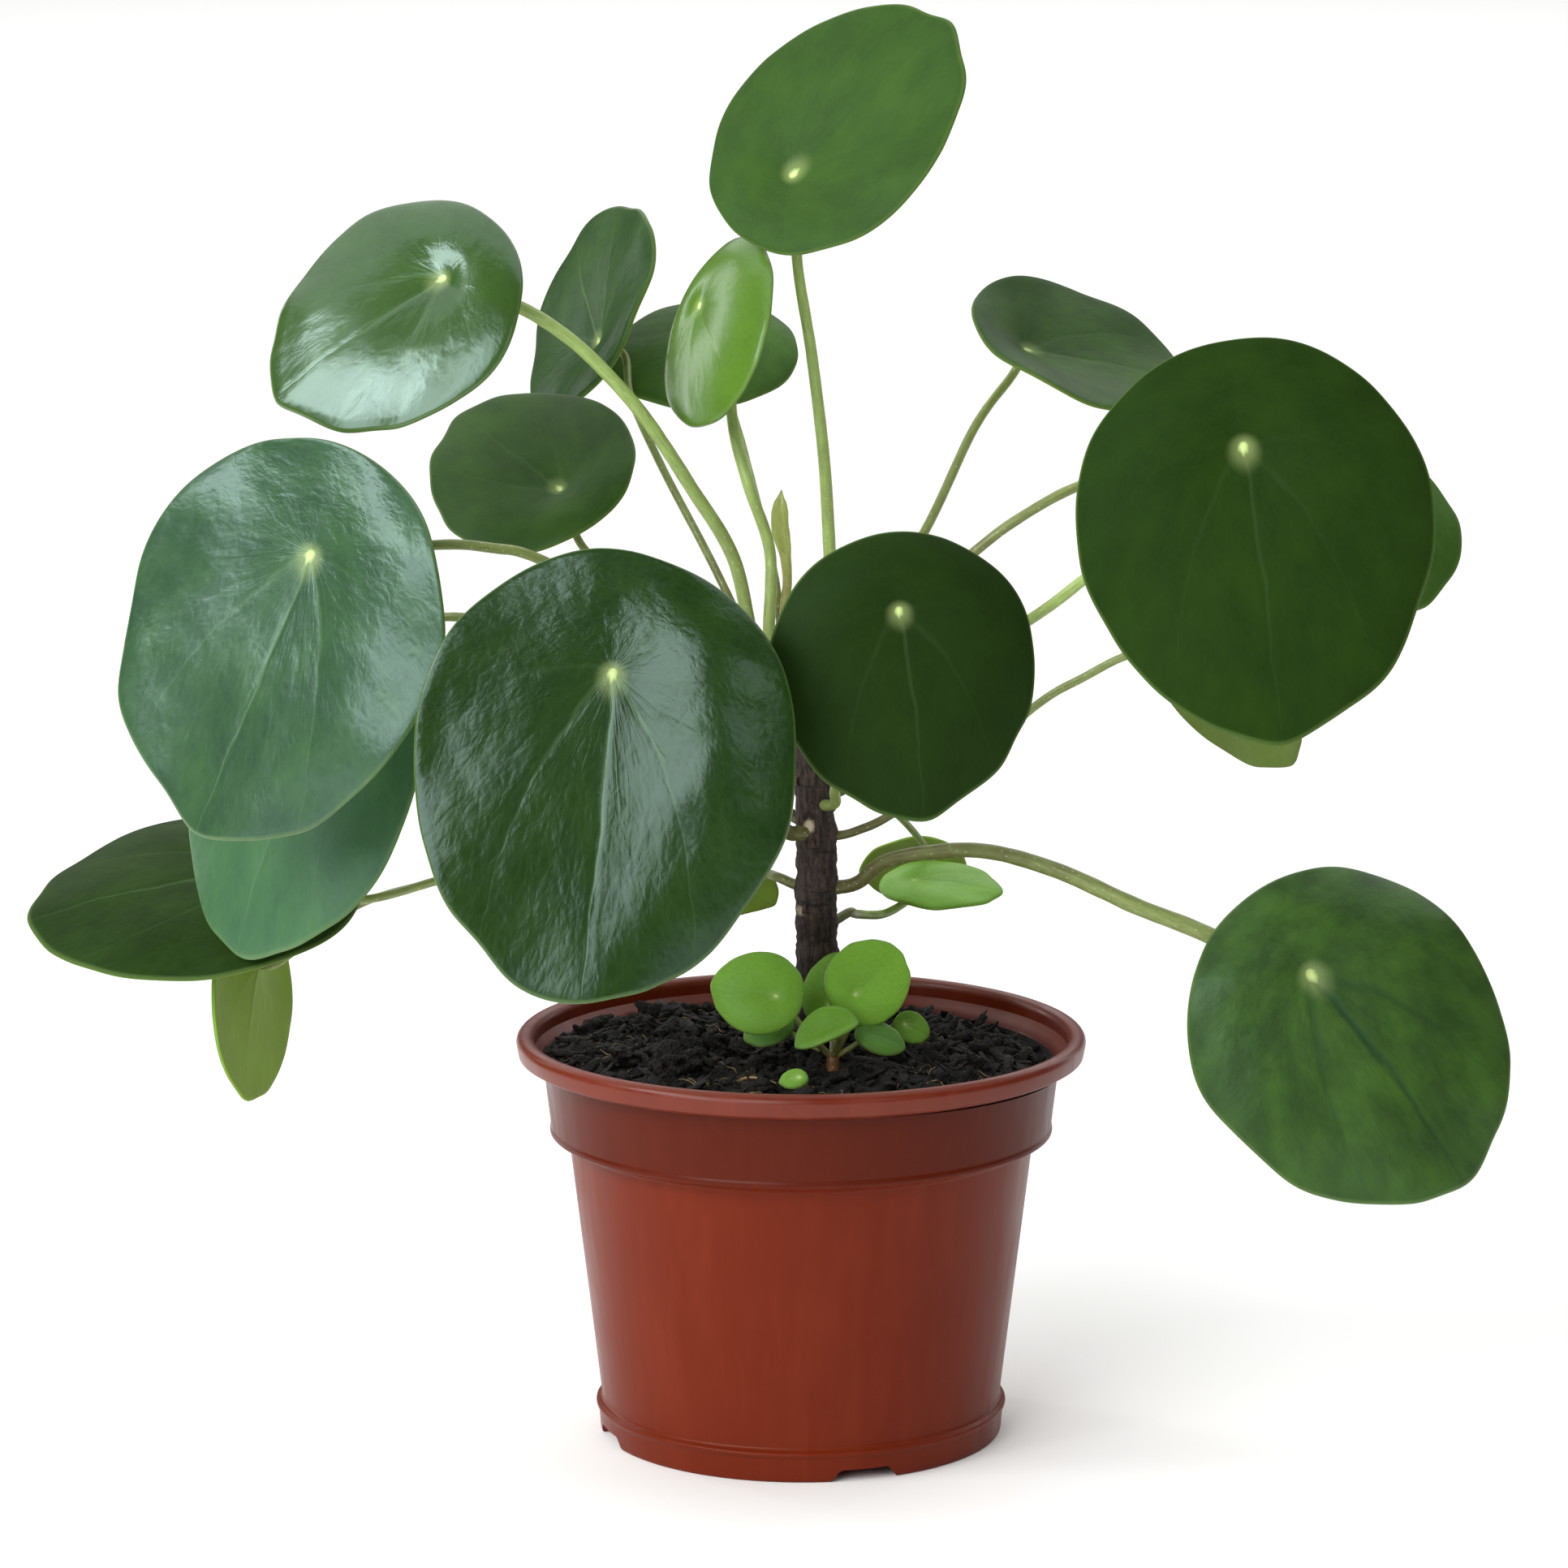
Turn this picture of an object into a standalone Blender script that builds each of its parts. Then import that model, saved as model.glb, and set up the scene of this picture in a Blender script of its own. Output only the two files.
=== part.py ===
"""A potted raindrop peperomia: a young plant with round, shield-like leaves in a 12 cm nursery pot.

Every leaf is a blade on its own stalk. The stalks leave a woody trunk that stands in a hole
in the soil, and the soil fills a plastic pot. Small shoots grow from the soil at the trunk's
foot. Sizes below are in millimetres and angles in degrees. The origin lies on the floor under
the pot's centre, +Z is up, and the plant's front faces -Y.
"""
import math
from collections import namedtuple

import bmesh
import bpy
from mathutils import Matrix, Vector

# Units and clearances
MM = 0.001
CLEARANCE = 0.3
UP = Vector((0.0, 0.0, 1.0))

# Pot
POT_SIDES = 48
POT_HEIGHT = 86.0
POT_WALL = 1.2
RIM_RADIUS = 60.0
RIM_INSIDE = 56.2
RIM_UNDERSIDE = 80.6
BAND_TOP_RADIUS = 54.5
BAND_BOTTOM_RADIUS = 52.7
BAND_BOTTOM = 65.0
BODY_TOP_RADIUS = 49.0
BODY_BOTTOM_RADIUS = 42.2
FOOT_HEIGHT = 6.4
FOOT_RADIUS = 43.2
FOOT_RING_WIDTH = 2.2
FLOOR_UNDERSIDE = 2.6
FLOOR_THICKNESS = 2.0
PAD_RADIUS = 8.0
FOOT_NOTCHES = 4
NOTCH_BEARING = -72.0
NOTCH_WIDTH_BOTTOM = 14.5
NOTCH_WIDTH_TOP = 10.5
NOTCH_HEIGHT = 2.5
DRAIN_HOLES = 8
DRAIN_HOLE_RADIUS = 3.5
DRAIN_HOLE_CIRCLE = 33.0

# Soil
SOIL_LEVEL = 82.0
SOIL_MOUND = 1.2
SOIL_RINGS = (9.0, 19.0, 29.0, 39.0, 48.0)
SOIL_CLOD = 0.9
HOLE_DEPTH = 26.0
SHOOT_HOLE_DEPTH = 8.0

# Trunk: points up its middle, and how thick it is there
TRUNK_ROUTE = ((3.2, 0, 57), (3.4, 0, 82), (3.3, 0, 105), (3.0, 0, 128), (2.4, 0, 142))
TRUNK_RADII = (3.6, 4.6, 4.3, 4.1, 3.7)
TIP_ROUTE = ((2.2, 0.0, 149.5), (0.2, 0.2, 157.0), (-2.2, 0.4, 165.0), (-3.6, 0.8, 172.0))
TIP_RADII = (3.5, 3.2, 2.8, 1.9)
TIP_ROUNDING = 1.2
TRUNK_TOP = 149.0
TRUNK_SIDES = 10
TRUNK_RING_SPACING = 3.0
SCAR_SPACING = 4.6
SCAR_RELIEF = 0.35
SCAR_HALF_HEIGHT = 1.3
GOLDEN_ANGLE = 137.5

# Blades
RIM_POINTS = 24
RING_SHARES = (0.3, 0.65, 1.0)
BLADE_THICKNESS = 1.1
SMALL_LEAF = 35.0
SMALL_RIM_POINTS = 16
SMALL_RING_SHARES = (0.5, 1.0)
SMALL_BLADE_THICKNESS = 0.9
HUB_SHARE = 0.27
EGG_SHAPE = 0.07
TIP_POINT = 1.3
BULGE = 2.6

# Stalks
STALK_SIDES = 6
STALK_RING_SPACING = 9.0
STALK_ROOT = 4.0
STALK_ARRIVAL = 6.0
LEAN_ALLOWANCE = 1.06

Leaf = namedtuple("Leaf", "name tone hub length width turn lift tip dome bend wave joint thick route")
"""One leaf. hub: the point of the upper side over the stalk. turn and lift: where the upper side
faces, to the right of the front and above level. tip: how far the tip is turned from straight
downhill, to the right as the upper side is seen. dome: how far the edge falls behind the hub.
bend: how far the two long sides fall besides. wave: the edge's waviness. joint: height and
bearing where the stalk leaves the trunk, bearings running anticlockwise from +X. thick: the
stalk's thickness at the trunk and at the blade. route: points that the stalk passes."""

LEAVES = (
    Leaf("top", "mid", (-2, -6, 266), 60, 51, -30, 30, 142, -2.5, 0, 0.3, (160, 20), (3.0, 2.1),
         ((6.2, 0, 178), (5.7, 0, 191), (4.6, 0, 208), (2.1, -1, 229), (-1, -1, 250))),
    Leaf("upper_left", "mid", (-72, -25, 247), 56, 50, -23, 32, -48, 1.0, 0, 0.3, (166, 195), (3.0, 2.6),
         ((-14, -5, 187), (-23, -10, 203), (-31, -14, 216), (-38, -17, 225), (-47, -19, 234),
          (-58, -20, 241))),
    Leaf("back_left", "blue", (-43, 40, 227), 54, 47, -67, 27, -122, -2.0, 0, 0.5, (158, 140), (1.9, 1.6),
         ((-19, 14, 184), (-29, 22, 202), (-36, 32, 216))),
    Leaf("back_middle", "dark", (-13, 55, 227), 42, 38, 0, 60, -60, 1.0, 0, 0.3, (168, 100), (1.9, 1.7),
         ((-6, 10, 183), (-12, 33, 204), (-15, 48, 214))),
    Leaf("young", "bright", (-21, 2, 239), 44, 40, -65, 22, 62, 2.0, 0, 0.0, (170, 240), (2.6, 2.2),
         ((-6.5, -3, 188), (-11, -2, 202), (-14, 2, 213), (-15, 5, 225))),
    Leaf("middle_left", "dark", (-50, 5, 200), 48, 43, -22, 48, -122, 0.0, 0, 0.3, (154, 165), (1.9, 1.7),
         ((-23, 4, 172), (-44, 7, 186))),
    Leaf("left", "blue", (-98, -45, 194), 82, 74, -28, 14, -18, 0.0, 0, 1.0, (155, 215), (2.4, 2.0),
         ((-31, -15, 176), (-53, -27, 190), (-63, -31, 193), (-74, -34, 194))),
    Leaf("front", "blue", (-37, -75, 175), 89, 75, 0, 16, -5, 3.0, 0, 0.6, (129, 225), (3.2, 2.6),
         ((-10, -25, 141), (-22, -50, 159), (-31, -64, 170))),
    Leaf("lower_left", "mid", (-100, 0, 155), 73, 58, -35, 20, -10, 1.0, 0, 0.5, (146, 185), (2.2, 1.8),
         ((-20, 0, 157), (-50, 2, 168), (-70, 6, 173), (-84, 12, 170), (-92, 16, 161))),
    Leaf("far_left", "dark", (-112, 20, 116), 72, 58, -10, 64, -70, 2.0, 0, 0.4, (139, 175), (2.2, 1.8),
         ((-32, 8, 132), (-56, 12, 122), (-77, 16, 115), (-94, 22, 109.5))),
    Leaf("hanging", "bright", (-117, 25, 95), 40, 36, -112, -6, 25, 0.0, 0, 0.0, (131, 155), (1.9, 1.6),
         ((-32, 18, 124), (-56, 25, 118), (-78, 30, 112), (-96, 35, 105.5))),
    Leaf("centre", "dark", (19, -60, 185), 56, 53, 8, 10, 7, 3.0, 0, 0.0, (135, 300), (2.3, 2.0),
         ((7, -12, 140), (9.5, -20, 147), (15, -42, 166))),
    Leaf("right", "dark", (87, -55, 217), 80, 70, -5, 15, 9, 1.0, 0, 0.4, (145, 340), (2.4, 2.2),
         ((19, -15, 159), (46, -30, 178), (58, -35, 188), (73, -42, 201))),
    Leaf("upper_right", "dark", (48, 45, 225), 52, 47, 45, 58, 55, -4.0, 0, 0.6, (159, 60), (2.1, 1.9),
         ((12, 15, 168), (26, 26, 188), (37, 38, 209))),
    Leaf("right_back", "dark", (110, 5, 199), 46, 42, -5, 46, 35, 1.0, 0, 0.4, (152, 10), (2.3, 2.0),
         ((19, 0, 174), (35, 0, 187), (44, 0, 194), (57, 2, 201), (72, 8, 204), (90, 13, 201),
          (103, 14, 195))),
    Leaf("right_under", "pale", (80, -10, 172), 46, 42, 130, 25, -33, 0.0, 0, 0.4, (128, 350), (1.9, 1.7),
         ((19, -3, 133), (36, -6, 146), (50, -9, 158), (58, -11, 163), (67, -13, 168))),
    Leaf("lower_right", "mid", (104, -30, 105), 73, 66, 13, 20, 35, 4.0, 0, 1.2, (117, 350), (2.9, 3.8),
         ((19, -6, 124), (36, -12, 127), (52, -17, 124), (69, -21, 117), (82, -22, 112))),
    Leaf("small_right", "bright", (24, 26, 113), 26, 23, 0, 76, 75, 0.5, 0, 0.2, (109, 40), (2.1, 1.7),
         ((12, 12, 108.5), (18, 20, 107))),
    Leaf("small_left", "pale", (-21, 20, 115), 24, 21, 180, 44, -60, 0.5, 0, 0.2, (117, 155), (2.2, 1.8),
         ((-9, 12, 117),)),
    Leaf("small_back", "pale", (30, 46, 112), 23, 21, 180, 38, 90, 0.5, 0, 0.2, (136, 25), (1.7, 1.5),
         ((13, 10, 134), (20, 25, 128), (27, 37, 118))),
)

# The bud at the top of the trunk: points that it passes after it leaves the green tip
BUD_ROUTE = ((-3.4, 2.4, 177), (-2.9, 3.8, 181), (-3.4, 4.6, 187), (-4.4, 5.0, 192), (-4.4, 5.0, 197),
             (-4.1, 5.0, 200))
BUD_RADII = (0.9, 1.0, 1.0, 1.2, 1.9, 1.8, 0.8)
BUD_FLATNESS = 0.5

# Shoots at the trunk's foot: where each leaves the soil, and its small leaves
Shoot = namedtuple("Shoot", "name root crown_height crown_radius leaves")
SHOOTS = (
    Shoot("shoot_main", (6.5, -21.5), 3.0, 1.9, (
        Leaf("a", "bright", (-5, -26, 99), 20, 17.5, -15, 25, -100, 0.8, 0, 0, None, (1.4, 1.2),
             ((1, -23, 91),)),
        Leaf("b", "bright", (5.5, -13, 94), 17, 15, -30, 25, 175, 0.8, 0, 0, None, (1.4, 1.2), ()),
        Leaf("c", "bright", (11, -20, 98), 19, 17.5, 12, 20, 130, 0.8, 0, 0, None, (1.6, 1.3),
             ((9.5, -20, 91),)),
        Leaf("d", "mid", (-4.5, -17, 91.5), 11, 9, -20, 45, -60, 0.5, 0, 0, None, (1.2, 1.1), ()),
        Leaf("e", "bright", (8, -28, 93.5), 14, 9, -20, 50, -55, 0.5, 0, 0, None, (1.2, 1.1), ()),
        Leaf("f", "mid", (14, -22, 90.5), 11, 8, 20, 45, 60, 0.5, 0, 0, None, (1.2, 1.1), ()),
    )),
    Shoot("shoot_side", (19.0, 4.0), 3.0, 1.2, (
        Leaf("a", "mid", (21.5, -9, 89.5), 8, 7, 10, 25, 60, 0.4, 0, 0, None, (1.2, 1.1), ((20, -2, 88),)),
    )),
    Shoot("shoot_front", (0.5, -41.0), 1.5, 1.2, (
        Leaf("a", "bright", (-0.3, -43, 86), 6, 5, -10, 50, -80, 0.4, 0, 0, None, (1.2, 1.1), ()),
    )),
)

# Colour, roughness and metallic value of each finish
FINISHES = {
    "dark": ((0.020, 0.070, 0.012), 0.55, 0.0),
    "mid": ((0.050, 0.150, 0.025), 0.50, 0.0),
    "blue": ((0.040, 0.130, 0.055), 0.40, 0.0),
    "bright": ((0.160, 0.330, 0.050), 0.40, 0.0),
    "pale": ((0.200, 0.340, 0.110), 0.60, 0.0),
    "stalk": ((0.160, 0.230, 0.070), 0.45, 0.0),
    "bud": ((0.240, 0.220, 0.060), 0.55, 0.0),
    "bark": ((0.050, 0.035, 0.035), 0.85, 0.0),
    "pot_plastic": ((0.250, 0.055, 0.028), 0.38, 0.0),
    "soil": ((0.010, 0.008, 0.007), 0.95, 0.0),
}


def material(finish):
    """The material of a finish, made the first time it is asked for."""
    found = bpy.data.materials.get(finish)
    if found:
        return found
    colour, roughness, metallic = FINISHES[finish]
    made = bpy.data.materials.new(finish)
    made.use_nodes = True
    shader = made.node_tree.nodes["Principled BSDF"]
    shader.inputs["Base Color"].default_value = (*colour, 1.0)
    shader.inputs["Roughness"].default_value = roughness
    shader.inputs["Metallic"].default_value = metallic
    return made


def new_object(name, bm, finish, smooth_angle=40.0, frame=Matrix()):
    """An object from a bmesh in millimetres, with its faces pointing out and round parts smooth.

    frame places it: the bmesh is measured from the frame's origin, along the frame's axes."""
    bmesh.ops.recalc_face_normals(bm, faces=bm.faces[:])
    bmesh.ops.scale(bm, vec=(MM, MM, MM), verts=bm.verts[:])
    mesh = bpy.data.meshes.new(name)
    bm.to_mesh(mesh)
    bm.free()
    mesh.materials.append(material(finish))
    mesh.shade_smooth()
    mesh.set_sharp_from_angle(angle=math.radians(smooth_angle))
    thing = bpy.data.objects.new(name, mesh)
    thing.location = frame.translation * MM
    thing.rotation_euler = frame.to_euler()
    bpy.context.collection.objects.link(thing)
    return thing


def combine(target, others, operation, solver="EXACT"):
    """Joins the others to the target, or cuts them out of it, in one Boolean, and removes them."""
    group = bpy.data.collections.new("combined")
    for other in others:
        group.objects.link(other)
    step = target.modifiers.new("combine", "BOOLEAN")
    step.operation = operation
    step.operand_type = "COLLECTION"
    step.collection = group
    step.solver = solver
    with bpy.context.temp_override(object=target):
        bpy.ops.object.modifier_apply(modifier=step.name)
    for other in others:
        bpy.data.objects.remove(other)
    bpy.data.collections.remove(group)


def direction(bearing):
    """The level unit vector at a bearing, anticlockwise from +X."""
    return Vector((math.cos(math.radians(bearing)), math.sin(math.radians(bearing)), 0.0))


def smooth_route(points, spacing):
    """Evenly spaced points on a smooth curve through the given ones (a Catmull-Rom spline)."""
    points = [Vector(point) for point in points]
    guides = [2 * points[0] - points[1], *points, 2 * points[-1] - points[-2]]
    fine = []
    for before, start, end, after in zip(guides, guides[1:], guides[2:], guides[3:]):
        for step in range(16):
            t = step / 16
            fine.append(0.5 * (2 * start + (end - before) * t
                               + (2 * before - 5 * start + 4 * end - after) * t ** 2
                               + (3 * start - before - 3 * end + after) * t ** 3))
    fine.append(points[-1])
    travelled = [0.0]
    for start, end in zip(fine, fine[1:]):
        travelled.append(travelled[-1] + (end - start).length)
    count = max(3, round(travelled[-1] / spacing))
    even = []
    at = 0
    for number in range(count + 1):
        wanted = travelled[-1] * number / count
        while at < len(fine) - 2 and travelled[at + 1] < wanted:
            at += 1
        share = (wanted - travelled[at]) / (travelled[at + 1] - travelled[at])
        even.append(fine[at].lerp(fine[at + 1], min(1.0, share)))
    return even


def blend(values, share):
    """The value at a share from 0 to 1 along a row of values."""
    place = share * (len(values) - 1)
    low = min(int(place), len(values) - 2)
    return values[low] + (values[low + 1] - values[low]) * (place - low)


def tube(route, radii, sides, start_axis=None, end_axis=None):
    """A closed tube: a round face set at the route's start and extruded from point to point.

    It is measured from the route's first point, which is the origin of the object made of it."""
    route = [point - route[0] for point in route]
    axes = [(after - before).normalized() for before, after in
            zip([route[0], *route[:-1]], [*route[1:], route[-1]])]
    axes[0] = start_axis or axes[0]
    axes[-1] = end_axis or axes[-1]
    bm = bmesh.new()
    frame = Matrix.Translation(route[0]) @ axes[0].to_track_quat("Z", "Y").to_matrix().to_4x4()
    bmesh.ops.create_circle(bm, cap_ends=True, segments=sides, radius=radii(0.0), matrix=frame)
    face = bm.faces[:][0]
    for number in range(1, len(route)):
        grown = bmesh.ops.extrude_face_region(bm, geom=[face])["geom"]
        if number > 1:
            bmesh.ops.delete(bm, geom=[face], context="FACES_ONLY")
        face = next(item for item in grown if isinstance(item, bmesh.types.BMFace))
        verts = face.verts[:]
        turn = axes[number - 1].rotation_difference(axes[number]).to_matrix()
        bmesh.ops.rotate(bm, cent=route[number - 1], matrix=turn, verts=verts)
        bmesh.ops.translate(bm, vec=route[number] - route[number - 1], verts=verts)
        growth = radii(number / (len(route) - 1)) / radii((number - 1) / (len(route) - 1))
        bmesh.ops.scale(bm, vec=(growth, growth, growth), verts=verts,
                        space=Matrix.Translation(-route[number]))
    return bm


def revolve(profile, sides):
    """A solid turned about Z from a profile of (radius, height) points, on the axis at both ends."""
    bm = bmesh.new()
    verts = [bm.verts.new((radius, 0.0, height)) for radius, height in profile]
    edges = [bm.edges.new(pair) for pair in zip(verts, verts[1:])]
    bmesh.ops.spin(bm, geom=verts + edges, cent=(0, 0, 0), axis=UP, angle=math.tau, steps=sides,
                   use_merge=True)
    bmesh.ops.remove_doubles(bm, verts=bm.verts[:], dist=0.01)
    return bm


def pot_inside():
    """The pot's inner surface, from the middle of its floor up to the rim."""
    return (
        (0.0, FLOOR_UNDERSIDE + FLOOR_THICKNESS),
        (BODY_BOTTOM_RADIUS - POT_WALL - 1.0, FLOOR_UNDERSIDE + FLOOR_THICKNESS),
        (BODY_TOP_RADIUS - POT_WALL, BAND_BOTTOM - 1.0),
        (BAND_BOTTOM_RADIUS - POT_WALL, BAND_BOTTOM + 0.6),
        (BAND_TOP_RADIUS - POT_WALL, RIM_UNDERSIDE - 1.2),
        (RIM_INSIDE, RIM_UNDERSIDE + 1.8),
    )


def make_pot():
    """The nursery pot: rolled rim, plain band, tapered body, and a notched foot ring with drain holes."""
    middle = (RIM_RADIUS + RIM_INSIDE) / 2
    half = (RIM_RADIUS - RIM_INSIDE) / 2
    outside = [
        (PAD_RADIUS, 0.0),
        (PAD_RADIUS, FLOOR_UNDERSIDE),
        (FOOT_RADIUS - FOOT_RING_WIDTH - 0.6, FLOOR_UNDERSIDE),
        (FOOT_RADIUS - FOOT_RING_WIDTH - 0.6, 0.0),
        (FOOT_RADIUS - 0.6, 0.0),
        (FOOT_RADIUS, FOOT_HEIGHT),
        (BODY_BOTTOM_RADIUS, FOOT_HEIGHT + 0.6),
        (BODY_TOP_RADIUS, BAND_BOTTOM - 1.6),
        (BAND_BOTTOM_RADIUS, BAND_BOTTOM),
        (BAND_TOP_RADIUS, RIM_UNDERSIDE),
        (RIM_RADIUS - 2.0, RIM_UNDERSIDE),
        (RIM_RADIUS - 0.5, RIM_UNDERSIDE + 1.0),
    ]
    crown = [(middle + half * math.cos(turn), POT_HEIGHT - half + half * math.sin(turn))
             for turn in [math.radians(angle) for angle in range(0, 181, 30)]]
    profile = [(0.0, 0.0), *outside, *crown, *reversed(pot_inside())]
    pot = new_object("pot", revolve(profile, POT_SIDES), "pot_plastic", smooth_angle=35.0)
    cutters = [foot_notch(NOTCH_BEARING + 360.0 * number / FOOT_NOTCHES) for number in range(FOOT_NOTCHES)]
    cutters += [drain_hole(NOTCH_BEARING + 360.0 * number / DRAIN_HOLES) for number in range(DRAIN_HOLES)]
    combine(pot, cutters, "DIFFERENCE")
    return pot


def foot_notch(bearing):
    """A wedge that cuts one notch, narrower at its top, out of the foot ring."""
    bm = bmesh.new()
    bmesh.ops.create_cube(bm, size=1.0)
    for vert in bm.verts:
        top = vert.co.z > 0
        across = vert.co.y * (NOTCH_WIDTH_TOP if top else NOTCH_WIDTH_BOTTOM + 1.6)
        vert.co = Vector((FOOT_RADIUS - 1.5 + vert.co.x * 5.0, across, NOTCH_HEIGHT if top else -1.0))
    return new_object("notch", bm, "pot_plastic", frame=Matrix.Rotation(math.radians(bearing), 4, "Z"))


def drain_hole(bearing):
    """A round peg that cuts one drain hole out of the floor."""
    bm = bmesh.new()
    place = DRAIN_HOLE_CIRCLE * direction(bearing)
    place.z = FLOOR_UNDERSIDE + FLOOR_THICKNESS / 2
    bmesh.ops.create_cone(bm, cap_ends=True, segments=10, radius1=DRAIN_HOLE_RADIUS,
                          radius2=DRAIN_HOLE_RADIUS, depth=FLOOR_THICKNESS + 1.0)
    return new_object("hole", bm, "pot_plastic", frame=Matrix.Translation(place))


def clod(x, y):
    """The soil's unevenness at a point, as a sum of three crossing waves."""
    return SOIL_CLOD * (math.sin(0.61 * x + 0.9) * math.cos(0.53 * y)
                        + 0.6 * math.sin(0.37 * x - 0.83 * y + 2.1)
                        + 0.5 * math.cos(0.97 * x + 0.29 * y + 0.4)) / 2


def make_soil():
    """Peat that fills the pot, slightly mounded, with a plain hole for the trunk and each shoot."""
    wall = [(radius - CLEARANCE - 0.1, height + 0.9 * CLEARANCE) for radius, height in pot_inside()[1:]]
    edge_radius = wall[-1][0]
    top = [(radius, SOIL_LEVEL) for radius in reversed(SOIL_RINGS)]
    profile = [(0.0, wall[0][1]), *wall, *top, (0.0, SOIL_LEVEL)]
    bm = revolve(profile, POT_SIDES)
    for vert in bm.verts:
        radius = vert.co.xy.length
        if vert.co.z > SOIL_LEVEL - 0.01 and radius < edge_radius - 1.0:
            vert.co.z += SOIL_MOUND * (1 - (radius / edge_radius) ** 2) + clod(vert.co.x, vert.co.y)
    soil = new_object("soil", bm, "soil", smooth_angle=60.0)
    pegs = [peg(TRUNK_ROUTE[1], max(TRUNK_RADII) + SCAR_RELIEF + CLEARANCE, HOLE_DEPTH)]
    for shoot in SHOOTS:
        pegs.append(peg((*shoot.root, SOIL_LEVEL), shoot.crown_radius + CLEARANCE, SHOOT_HOLE_DEPTH))
    combine(soil, pegs, "DIFFERENCE")
    return soil


def peg(place, radius, depth):
    """A round peg that cuts a blind hole of a given depth below the soil's surface."""
    bm = bmesh.new()
    middle = Vector((place[0], place[1], SOIL_LEVEL + (8.0 - depth) / 2))
    bmesh.ops.create_cone(bm, cap_ends=True, segments=16, radius1=radius * 1.02, radius2=radius * 1.02,
                          depth=depth + 8.0)
    return new_object("peg", bm, "soil", frame=Matrix.Translation(middle))


def trunk_middle(height):
    """The middle of the trunk, or of its green tip, at a height."""
    route = [Vector(point) for point in (*TRUNK_ROUTE, *TIP_ROUTE)]
    for low, high in zip(route, route[1:]):
        if height <= high.z:
            return low.lerp(high, (height - low.z) / (high.z - low.z))
    return route[-1]


def trunk_radius(height):
    """The trunk's plain radius at a height, without its scars."""
    heights = [point[2] for point in (*TRUNK_ROUTE, *TIP_ROUTE)]
    radii = (*TRUNK_RADII, *TIP_RADII)
    for number in range(len(heights) - 1):
        if height <= heights[number + 1]:
            share = (height - heights[number]) / (heights[number + 1] - heights[number])
            return radii[number] + (radii[number + 1] - radii[number]) * share
    return radii[-1]


def make_trunk():
    """The woody trunk: a gently leaning stem with a leaf scar every few millimetres, in a spiral."""
    route = smooth_route([*TRUNK_ROUTE, trunk_middle(TRUNK_TOP)], TRUNK_RING_SPACING)
    low = route[0].z
    bm = tube(route, lambda share: trunk_radius(low + (TRUNK_TOP - low) * share), TRUNK_SIDES, UP, UP)
    scars = int((TRUNK_TOP - low) / SCAR_SPACING)
    for vert in bm.verts:
        out = route[0] + vert.co - trunk_middle(low + vert.co.z)
        out.z = 0.0
        bearing = math.atan2(out.y, out.x)
        swell = 0.0
        for number in range(scars):
            rise = (vert.co.z - number * SCAR_SPACING) / SCAR_HALF_HEIGHT
            facing = max(0.0, math.cos(bearing - math.radians(GOLDEN_ANGLE * number)))
            swell += SCAR_RELIEF * facing * math.exp(-rise * rise)
        vert.co += out.normalized() * min(swell, SCAR_RELIEF)
    return new_object("trunk", bm, "bark", smooth_angle=50.0, frame=Matrix.Translation(route[0]))


def tip_route():
    """The middle of the trunk's green top, with one more point for its rounded end."""
    route = smooth_route(TIP_ROUTE, TRUNK_RING_SPACING)
    return [*route, route[-1] + (route[-1] - route[-2]).normalized() * TIP_ROUNDING]


def make_shoot_tip():
    """The trunk's soft green top, where the youngest stalks leave it."""
    route = tip_route()
    count = len(route) - 1
    full = (count - 1) / count

    def radius(share):
        return blend(TIP_RADII, share / full) if share <= full else TIP_RADII[-1] * 0.45

    return new_object("shoot_tip", tube(route, radius, TRUNK_SIDES, UP), "stalk", smooth_angle=50.0,
                      frame=Matrix.Translation(route[0]))


def leaf_frame(leaf):
    """A leaf's own axes at its hub: +X to the tip, +Y sideways, and +Z the way the upper side faces."""
    turn, lift, tip = (math.radians(angle) for angle in (leaf.turn, leaf.lift, leaf.tip))
    normal = Vector((math.sin(turn) * math.cos(lift), -math.cos(turn) * math.cos(lift), math.sin(lift)))
    downhill = (normal * normal.z - UP).normalized()
    to_tip = math.cos(tip) * downhill + math.sin(tip) * normal.cross(downhill)
    axes = Matrix((to_tip, normal.cross(to_tip), normal)).transposed()
    return Matrix.Translation(leaf.hub) @ axes.to_4x4()


def blade_point(leaf, flat):
    """Takes a point of the unit disc to its place on the leaf's upper side, in the leaf's own axes."""
    share = flat.length
    if share < 1e-6:
        return Vector((0.0, 0.0, 0.0))
    angle = math.atan2(flat.y, flat.x)
    along = leaf.length * (0.5 - HUB_SHARE + 0.5 * math.cos(angle))
    along += TIP_POINT * leaf.length / 80.0 * math.exp(-(angle / 0.2) ** 2)
    across = leaf.width / 2 * math.sin(angle) * (1 - EGG_SHAPE * math.cos(angle))
    rise = 4 * BULGE * leaf.length / 80.0 * share * (1 - share) - leaf.dome * share ** 2
    rise -= leaf.bend * (share * math.sin(angle)) ** 2
    rise += leaf.wave * share ** 3 * math.sin(6 * angle + leaf.length)
    return Vector((share * along, share * across, rise))


def blade_thickness(leaf):
    """How thick a leaf's blade is."""
    return SMALL_BLADE_THICKNESS if leaf.length < SMALL_LEAF else BLADE_THICKNESS


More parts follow.
